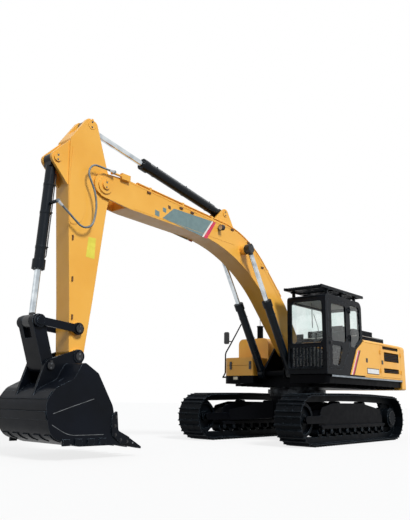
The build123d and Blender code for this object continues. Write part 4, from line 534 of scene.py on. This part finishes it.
piece("boom_side_panel", "boom", slate_plate, on_both_sides(
    BOOM_FACE, [(4.665, 4.472), (3.52, 4.498), (3.825, 4.100), (4.967, 4.206)], 0.003))
piece("boom_panel_line", "boom", white_film, on_both_sides(
    BOOM_FACE, [(3.515, 4.498), (3.475, 4.498), (3.778, 4.096), (3.820, 4.100)], 0.0025))
piece("boom_panel_stripe", "boom", red_film, on_both_sides(
    BOOM_FACE, [(3.470, 4.498), (3.389, 4.496), (3.665, 4.084), (3.773, 4.095)], 0.0025))
for number, (x, z, size, material) in enumerate((
        (5.111, 4.262, 0.058, slate_plate), (4.921, 4.376, 0.045, slate_plate),
        (4.790, 4.462, 0.036, brown_film))):
    piece(f"boom_panel_square_{number}", "boom", material, on_both_sides(
        BOOM_FACE, [(x - size, z - size), (x + size, z - size * 0.8), (x + size, z + size),
                    (x - size, z + size * 0.8)], 0.002))


def boom_clips(bm):
    for x, z in ((4.467, 4.530), (4.143, 4.520), (2.841, 4.470), (5.35, 4.60), (2.25, 4.30), (1.72, 3.83)):
        for sign in (1, -1):
            block(bm, (x - 0.045, min(sign * 0.209, sign * 0.232), z - 0.018),
                  (x + 0.045, max(sign * 0.209, sign * 0.232), z + 0.018))


piece("boom_clips", "boom", brown_film, boom_clips, bevel=0.003)


def weld_beads(bm):
    """Fillet welds where the boom's top and bottom plates meet its sides."""
    for sign in (1, -1):
        for route in ([(2.62, 4.46), (5.80, 4.655)], [(2.75, 4.15), (5.70, 4.195)],
                      [(0.82, 3.00), (1.95, 4.10)]):
            tube(bm, [Vector((x, sign * 0.2105, z)) for x, z in route], 0.004, 6)


piece("boom_weld_beads", "boom", amber, weld_beads)

doubler = [(7.075, 4.93), (7.00, 4.62), (6.84, 4.36), (6.745, 4.18),
           (6.73, 3.87), (6.83, 3.645), (7.035, 3.59), (7.088, 4.20)]
corners = rounded([(x, 0, z) for x, z in doubler], 0.25)
piece("arm_doubler", "arm", amber, on_both_sides(ARM_FACE, [(p.x, p.z) for p in corners], 0.008), bevel=0.003)
piece("arm_label", "arm", label_film, lambda bm: plate(
    bm, [(6.634, 3.469), (6.479, 3.476), (6.485, 3.116), (6.663, 3.127)], ARM_FACE, 0.0015))


def arm_clips(bm):
    for x, z in ((6.952, 3.389), (6.905, 2.715), (6.86, 2.11)):
        for sign in (1, -1):
            block(bm, (x - 0.012, min(sign * 0.169, sign * 0.19), z - 0.04),
                  (x + 0.012, max(sign * 0.169, sign * 0.19), z + 0.04))


piece("arm_clips", "arm", brown_film, arm_clips, bevel=0.003)

# ---------------------------------------------------------------- cylinders: pipes, ports, gland bolts

# name, body, foot, head, rows, barrel radius, barrel length
BARRELS = (("boom", "boom_cylinder_barrels", BOOM_BARREL_PIN, BOOM_HEAD, (0.39, -0.39), 0.088, 1.80),
           ("arm", "arm_cylinder_barrel", ARM_BARREL_PIN, ARM_HEAD, (0,), 0.095, 2.40),
           ("bucket", "bucket_cylinder_barrel", BARREL_PIN, ROD_PIN, (0,), 0.082, 1.85))
for name, body, foot, head, rows, radius, length in BARRELS:
    turn = -1 if name == "bucket" else 1

    def pipes(bm):
        for row in rows:
            for side in (1, -1):
                off = turn * (radius + 0.012)
                y = row + side * 0.03
                route = [(*at_side(foot, head, 0.22, turn * radius * 0.8), y),
                         (*at_side(foot, head, 0.25, off), y),
                         (*at_side(foot, head, length - (0.22 if side > 0 else 0.5), off), y),
                         (*at_side(foot, head, length - (0.19 if side > 0 else 0.47),
                                   turn * radius * 0.8), y)]
                tube(bm, rounded([(x, y, z) for x, z, y in route], 0.04), 0.009)
    piece(f"{name}_barrel_pipes", body, trim if name == "arm" else black_oxide, pipes)

    def bands(bm):
        for row in rows:
            for along in (0.45, 0.5 * length, length - 0.35):
                a, b = at_side(foot, head, along - 0.02, 0), at_side(foot, head, along + 0.02, 0)
                collar(bm, (a[0], row, a[1]), (b[0], row, b[1]), radius - 0.003, radius + 0.005)
                c = at_side(foot, head, along - 0.02, turn * (radius + 0.018))
                rod(bm, (c[0], row - 0.045, c[1]), (c[0], row + 0.045, c[1]), 0.012, 8)
    piece(f"{name}_barrel_bands", body, barrel_slate, bands, bevel=0.002)

    def gland(bm):
        for row in rows:
            for k in range(10):
                angle = 2 * math.pi * k / 10
                bolt_circle = 0.8 * (radius + 0.014)
                off, y = bolt_circle * math.cos(angle), row + bolt_circle * math.sin(angle)
                a, b = at_side(foot, head, length - 0.002, off), at_side(foot, head, length + 0.012, off)
                rod(bm, (a[0], y, a[1]), (b[0], y, b[1]), 0.010, 6)
    piece(f"{name}_gland_bolts", body, black_oxide, gland)


def hose_ends(bm):
    """Crimped ferrules and nuts at both ends of the arm's hose."""
    for start, end in (((7.352, 3.875), (7.272, 3.822)), ((6.275, 4.70), (6.37, 4.70))):
        rod(bm, (start[0], 0.290, start[1]), (end[0], 0.290, end[1]), 0.0215, 16)
        rod(bm, (start[0], 0.290, start[1]),
            (start[0] + 0.3 * (end[0] - start[0]), 0.290, start[1] + 0.3 * (end[1] - start[1])), 0.026, 6)


piece("arm_hose_ferrules", "arm", trim, hose_ends)

# ---------------------------------------------------------------- bucket


def bucket_side(x):
    share = max(0.0, (x - 6.40) / (7.53 - 6.40))
    return 0.73 - 0.09 * share


def bucket_beads(bm):
    for sign in (1, -1):
        for route in ([(7.42, 0.65), (7.08, 0.76), (6.75, 0.86)], [(7.42, 0.50), (7.15, 0.35), (6.55, 0.35)]):
            points = rounded([(x, sign * (bucket_side(x) + 0.001), z) for x, z in route], 0.5)
            tube(bm, points, 0.006, 6)


piece("bucket_weld_beads", "bucket", zinc, bucket_beads)


def cutter_bolts(bm):
    for sign in (1, -1):
        bolt_heads(bm, [(6.345, 0.60), (6.355, 0.47), (6.34, 0.34), (6.23, 0.265), (6.10, 0.235)],
                   sign * 0.751, sign, 0.017, 0.014)


piece("bucket_cutter_bolts", "bucket", black_oxide, cutter_bolts)


def tooth_pins(bm):
    for index in range(5):
        y = (index - 2) * 0.32
        rod(bm, (5.93, y - 0.056, 0.205), (5.93, y + 0.056, 0.205), 0.013, 12)


piece("bucket_tooth_pins", "bucket", zinc, tooth_pins)

# ---------------------------------------------------------------- lamps


def boom_lens(bm):
    rod(bm, (3.320, 0.290, 4.3955), (3.331, 0.290, 4.394), 0.050, 28)


piece("boom_lamp_lens", "boom", lens, boom_lens)
low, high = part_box("front_lamp")
piece("front_lamp_lens", "house", lens, lambda bm: block(
    bm, (high[0] - 0.008, low[1] + 0.012, low[2] + 0.012),
    (high[0] - 0.002, high[1] - 0.012, high[2] - 0.012)), bevel=0.003)

# ---------------------------------------------------------------- house: stripes, plate, handles

SIDE = 1.507
EDGE_FOOT_X, EDGE_TOP_X, EDGE_TOP_Z = 0.130, -0.215, 2.065   # the cab's rear edge, which the stripes follow
STRIPE_FOOT_Z = 1.482
SLANT = 1.15   # a slanted band's width along x for each unit across it
for name, near, far, material in (("white", 0.050, 0.075, white_film), ("red", 0.075, 0.125, red_film),
                                  ("dark", 0.125, 0.165, black_oxide)):
    piece(f"side_stripe_{name}", "house", material, on_both_sides(
        SIDE, [(EDGE_FOOT_X - near * SLANT, STRIPE_FOOT_Z), (EDGE_TOP_X - near * SLANT, EDGE_TOP_Z - 0.01),
               (EDGE_TOP_X - far * SLANT, EDGE_TOP_Z - 0.01),
               (EDGE_FOOT_X - far * SLANT, STRIPE_FOOT_Z)], 0.0015))

piece("blank_plate_frame", "side_door_left_front", black_oxide, lambda bm: plate(
    bm, [(-1.385, 1.535), (-0.735, 1.535), (-0.735, 1.675), (-1.385, 1.675)], 1.495, 0.004), bevel=0.002)
piece("blank_plate", "side_door_left_front", white_film, lambda bm: plate(
    bm, [(-1.365, 1.552), (-0.755, 1.552), (-0.755, 1.658), (-1.365, 1.658)], 1.499, 0.0015))

for place, x in (("front", -0.74), ("rear", -1.60)):
    for side, sign in (("left", 1), ("right", -1)):
        def latch(bm):
            block(bm, (x - 0.045, min(sign * 1.490, sign * 1.503), 1.80),
                  (x + 0.045, max(sign * 1.490, sign * 1.503), 1.90))
        piece(f"side_latch_{side}_{place}", f"side_door_{side}_{place}", black_oxide, latch, bevel=0.006)

low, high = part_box("hood")


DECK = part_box("deck")


def deck_edge(bm):
    """A light grey strip on the face of the ledge along the deck's long sides: a painted highlight."""
    for sign in (1, -1):
        inner, outer = sign * (DECK[1][1] - 0.002), sign * (DECK[1][1] + 0.0015)
        block(bm, (-2.74, min(inner, outer), 1.408), (0.99, max(inner, outer), 1.446))


piece("deck_edge_strip", "house", ledge_highlight_grey, deck_edge)


def hood_trim(bm):
    """A bright edge strip round the hood's lower step."""
    for y in (low[1] - 0.001, high[1] + 0.001):
        rod(bm, (low[0] + 0.05, y, 2.545), (high[0] - 0.05, y, 2.545), 0.006, 8)
    rod(bm, (high[0] + 0.001, low[1] + 0.05, 2.545), (high[0] + 0.001, high[1] - 0.05, 2.545), 0.006, 8)


piece("hood_trim", "hood", trim, hood_trim)

# ---------------------------------------------------------------- cab


def door_handle(bm):
    block(bm, (0.955, 1.494, 2.095), (1.015, 1.520, 2.165))
    rod(bm, (0.985, 1.522, 2.11), (0.985, 1.522, 2.15), 0.012, 12)


piece("cab_door_handle", "cab_door", black_oxide, door_handle, bevel=0.005)


def wiper(bm):
    tube(bm, rounded([(1.166, 1.33, 2.14), (1.172, 1.30, 2.45), (1.170, 1.20, 2.75)], 0.1), 0.006)
    block(bm, (1.163, 1.15, 2.45), (1.169, 1.165, 3.0))


piece("cab_wiper", "house", black_oxide, wiper)


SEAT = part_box("cab_seat")
SEAT_Y = (SEAT[0][1] + SEAT[1][1]) / 2
SEAT_FLOOR = SEAT[0][2]


def cushion(bm, middle, size, lean=0.0, channels=0.07):
    """A stuffed pad: a crowned form whose sides pull in between its corners, with two sewn channels."""
    made = bmesh.ops.create_cube(bm, size=2)
    edges = list({edge for vert in made["verts"] for edge in vert.link_edges})
    bmesh.ops.subdivide_edges(bm, edges=edges, cuts=11, use_grid_fill=True)
    turn = Matrix.Rotation(lean, 3, "Y")
    for vert in bm.verts:
        u, v, w = vert.co
        crown = (1 - u ** 4) * (1 - v ** 4)
        sewn = channels * crown * math.exp(-((abs(v) - 0.55) / 0.06) ** 2)
        swell = 0.55 + 0.45 * crown ** 0.6 - sewn
        vert.co = Vector(middle) + turn @ Vector((size[0] / 2 * u * (1 - 0.05 * (1 - v * v)),
                                                  size[1] / 2 * v * (1 - 0.04 * (1 - u * u)),
                                                  size[2] / 2 * w * swell))


def seat_base(bm):
    """The suspension's plinth, its bellows, and the pan and back shell that carry the pads."""
    block(bm, (-0.22, SEAT_Y - 0.18, SEAT_FLOOR), (0.18, SEAT_Y + 0.18, SEAT_FLOOR + 0.09))
    for fold in range(5):
        low = SEAT_FLOOR + 0.09 + 0.045 * fold
        block(bm, (-0.19, SEAT_Y - 0.16, low), (0.15, SEAT_Y + 0.16, low + 0.022))
        block(bm, (-0.17, SEAT_Y - 0.14, low + 0.022), (0.13, SEAT_Y + 0.14, low + 0.045))
    block(bm, (-0.26, SEAT_Y - 0.22, SEAT_FLOOR + 0.315), (0.22, SEAT_Y + 0.22, SEAT_FLOOR + 0.37))
    plate(bm, [(-0.285, SEAT_FLOOR + 0.36), (-0.245, SEAT_FLOOR + 0.36), (-0.30, SEAT_FLOOR + 1.12),
               (-0.335, SEAT_FLOOR + 1.12)], SEAT_Y - 0.19, 0.38)


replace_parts(piece("seat_base", "house", rubber, seat_base, bevel=0.006), "cab_seat")
# middle along x and above the floor, size, lean
PADS = (("seat_cushion", (-0.005, 0.42), (0.49, 0.49, 0.125), -0.05),
        ("seat_back", (-0.215, 0.74), (0.56, 0.47, 0.12), math.radians(-82)),
        ("seat_headrest", (-0.262, 1.075), (0.13, 0.26, 0.10), math.radians(-82)))
for name, (x, above), size, lean in PADS:
    pad = piece(name, "house", seat_cloth,
                lambda bm: cushion(bm, (x, SEAT_Y, SEAT_FLOOR + above), size, lean))
    for polygon in pad.data.polygons:
        polygon.use_smooth = True
    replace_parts(pad, "cab_seat")


def levers(bm):
    """Travel levers and pedals before the seat, and a joystick on each console."""
    for y in (0.90, 1.10):
        tube(bm, rounded([(0.72, y, 1.58), (0.74, y, 2.02), (0.62, y, 2.22)], 0.15), 0.011)
        rod(bm, (0.62, y, 2.20), (0.58, y, 2.29), 0.018, 12)
        block(bm, (0.74, y - 0.05, 1.56), (0.94, y + 0.05, 1.585))
    for y in (0.72, 1.28):
        tube(bm, rounded([(0.20, y, 2.18), (0.22, y, 2.28), (0.25, y, 2.36)], 0.08), 0.010)
        rod(bm, (0.25, y, 2.34), (0.265, y, 2.44), 0.022, 12, 0.028)


piece("cab_levers", "house", rubber, levers)
piece("cab_screen", "house", rubber, lambda bm: block(
    bm, (0.86, 0.585, 2.20), (0.90, 0.75, 2.36)), bevel=0.01)
piece("cab_roof_lining", "house", lining, lambda bm: block(
    bm, (-0.46, 0.60, 3.085), (1.06, 1.40, 3.10)), bevel=0.005)

# ---------------------------------------------------------------- camera, lights, floor

LOCATION = (12.464, 7.757, 0.878)
YAW, PITCH, ROLL = math.radians(-139.213), math.radians(13.392), math.radians(0.979)
ahead = Vector((math.cos(YAW) * math.cos(PITCH), math.sin(YAW) * math.cos(PITCH), math.sin(PITCH)))
level = ahead.cross(Vector((0, 0, 1))).normalized()
upright = level.cross(ahead)
right = math.cos(ROLL) * level + math.sin(ROLL) * upright
up = -math.sin(ROLL) * level + math.cos(ROLL) * upright
camera = bpy.data.objects.new("camera", bpy.data.cameras.new("camera"))
bpy.context.scene.collection.objects.link(camera)
camera.matrix_world = Matrix((
    (right.x, up.x, -ahead.x, LOCATION[0]),
    (right.y, up.y, -ahead.y, LOCATION[1]),
    (right.z, up.z, -ahead.z, LOCATION[2]),
    (0, 0, 0, 1)))
camera.data.sensor_width = 36
camera.data.lens = 40.6
camera.data.clip_end = 200
bpy.context.scene.camera = camera
bpy.context.scene.view_settings.view_transform = "Standard"

# The rays that see the pale background: the eye's, and those by which metal and glass show it.
SHOWS_BACKGROUND = ("Is Camera Ray", "Is Glossy Ray", "Is Transmission Ray")
world = bpy.data.worlds.new("studio")
bpy.context.scene.world = world
world.use_nodes = True
tree = world.node_tree
tree.nodes.clear()
ray = add(tree, "ShaderNodeLightPath")
seen = any_of(tree, [ray.outputs[kind] for kind in SHOWS_BACKGROUND])
white = add(tree, "ShaderNodeBackground", {"Color": (1, 1, 1, 1), "Strength": 1.0})
fill = add(tree, "ShaderNodeBackground", {"Color": (0.88, 0.94, 1.0, 1), "Strength": 0.36})
both = add(tree, "ShaderNodeMixShader", {0: seen, 1: fill.outputs[0], 2: white.outputs[0]})
add(tree, "ShaderNodeOutputWorld", {"Surface": both.outputs[0]})

for name, direction, strength, spread in (
        ("key", (0.22, 0.85, 0.80), 3.1, 16),
        ("front", (0.95, 0.05, 0.55), 0.35, 60)):
    lamp = bpy.data.objects.new(name, bpy.data.lights.new(name, "SUN"))
    lamp.data.energy = strength
    lamp.data.angle = math.radians(spread)
    lamp.rotation_euler = Vector(direction).to_track_quat("Z", "Y").to_euler()
    bpy.context.scene.collection.objects.link(lamp)

floor_mesh = bpy.data.meshes.new("floor")
bm = bmesh.new()
bmesh.ops.create_grid(bm, x_segments=1, y_segments=1, size=90)
bm.to_mesh(floor_mesh)
bm.free()
floor = bpy.data.objects.new("floor", floor_mesh)
bpy.context.scene.collection.objects.link(floor)
pale, tree, shader = new_finish("pale_floor", **{"Roughness": 0.9, "Specular IOR Level": 0.1})
ray = add(tree, "ShaderNodeLightPath")
# To the object's own light the floor is dull, so undersides stay deep; to the eye it is white with a shadow.
bounce = add(tree, "ShaderNodeMix", {"Factor": ray.outputs["Is Diffuse Ray"], "A": paint("#D2D2D2"),
                                     "B": paint("#6E6C68")}, data_type="RGBA")
tree.links.new(bounce.outputs["Result"], shader.inputs["Base Color"])
seen = any_of(tree, [ray.outputs[kind] for kind in SHOWS_BACKGROUND])
FLOOR_GLOW_SHARE = 0.75   # the rest of the floor takes light, and so keeps the shadow
share = add(tree, "ShaderNodeMath", {0: seen, 1: FLOOR_GLOW_SHARE}, operation="MULTIPLY")
glow = add(tree, "ShaderNodeEmission", {"Color": (1, 1, 1, 1), "Strength": 1.06})
mixed = add(tree, "ShaderNodeMixShader", {0: share.outputs[0], 1: shader.outputs[0], 2: glow.outputs[0]})
tree.links.new(mixed.outputs[0], tree.nodes["Material Output"].inputs["Surface"])
floor_mesh.materials.append(pale)
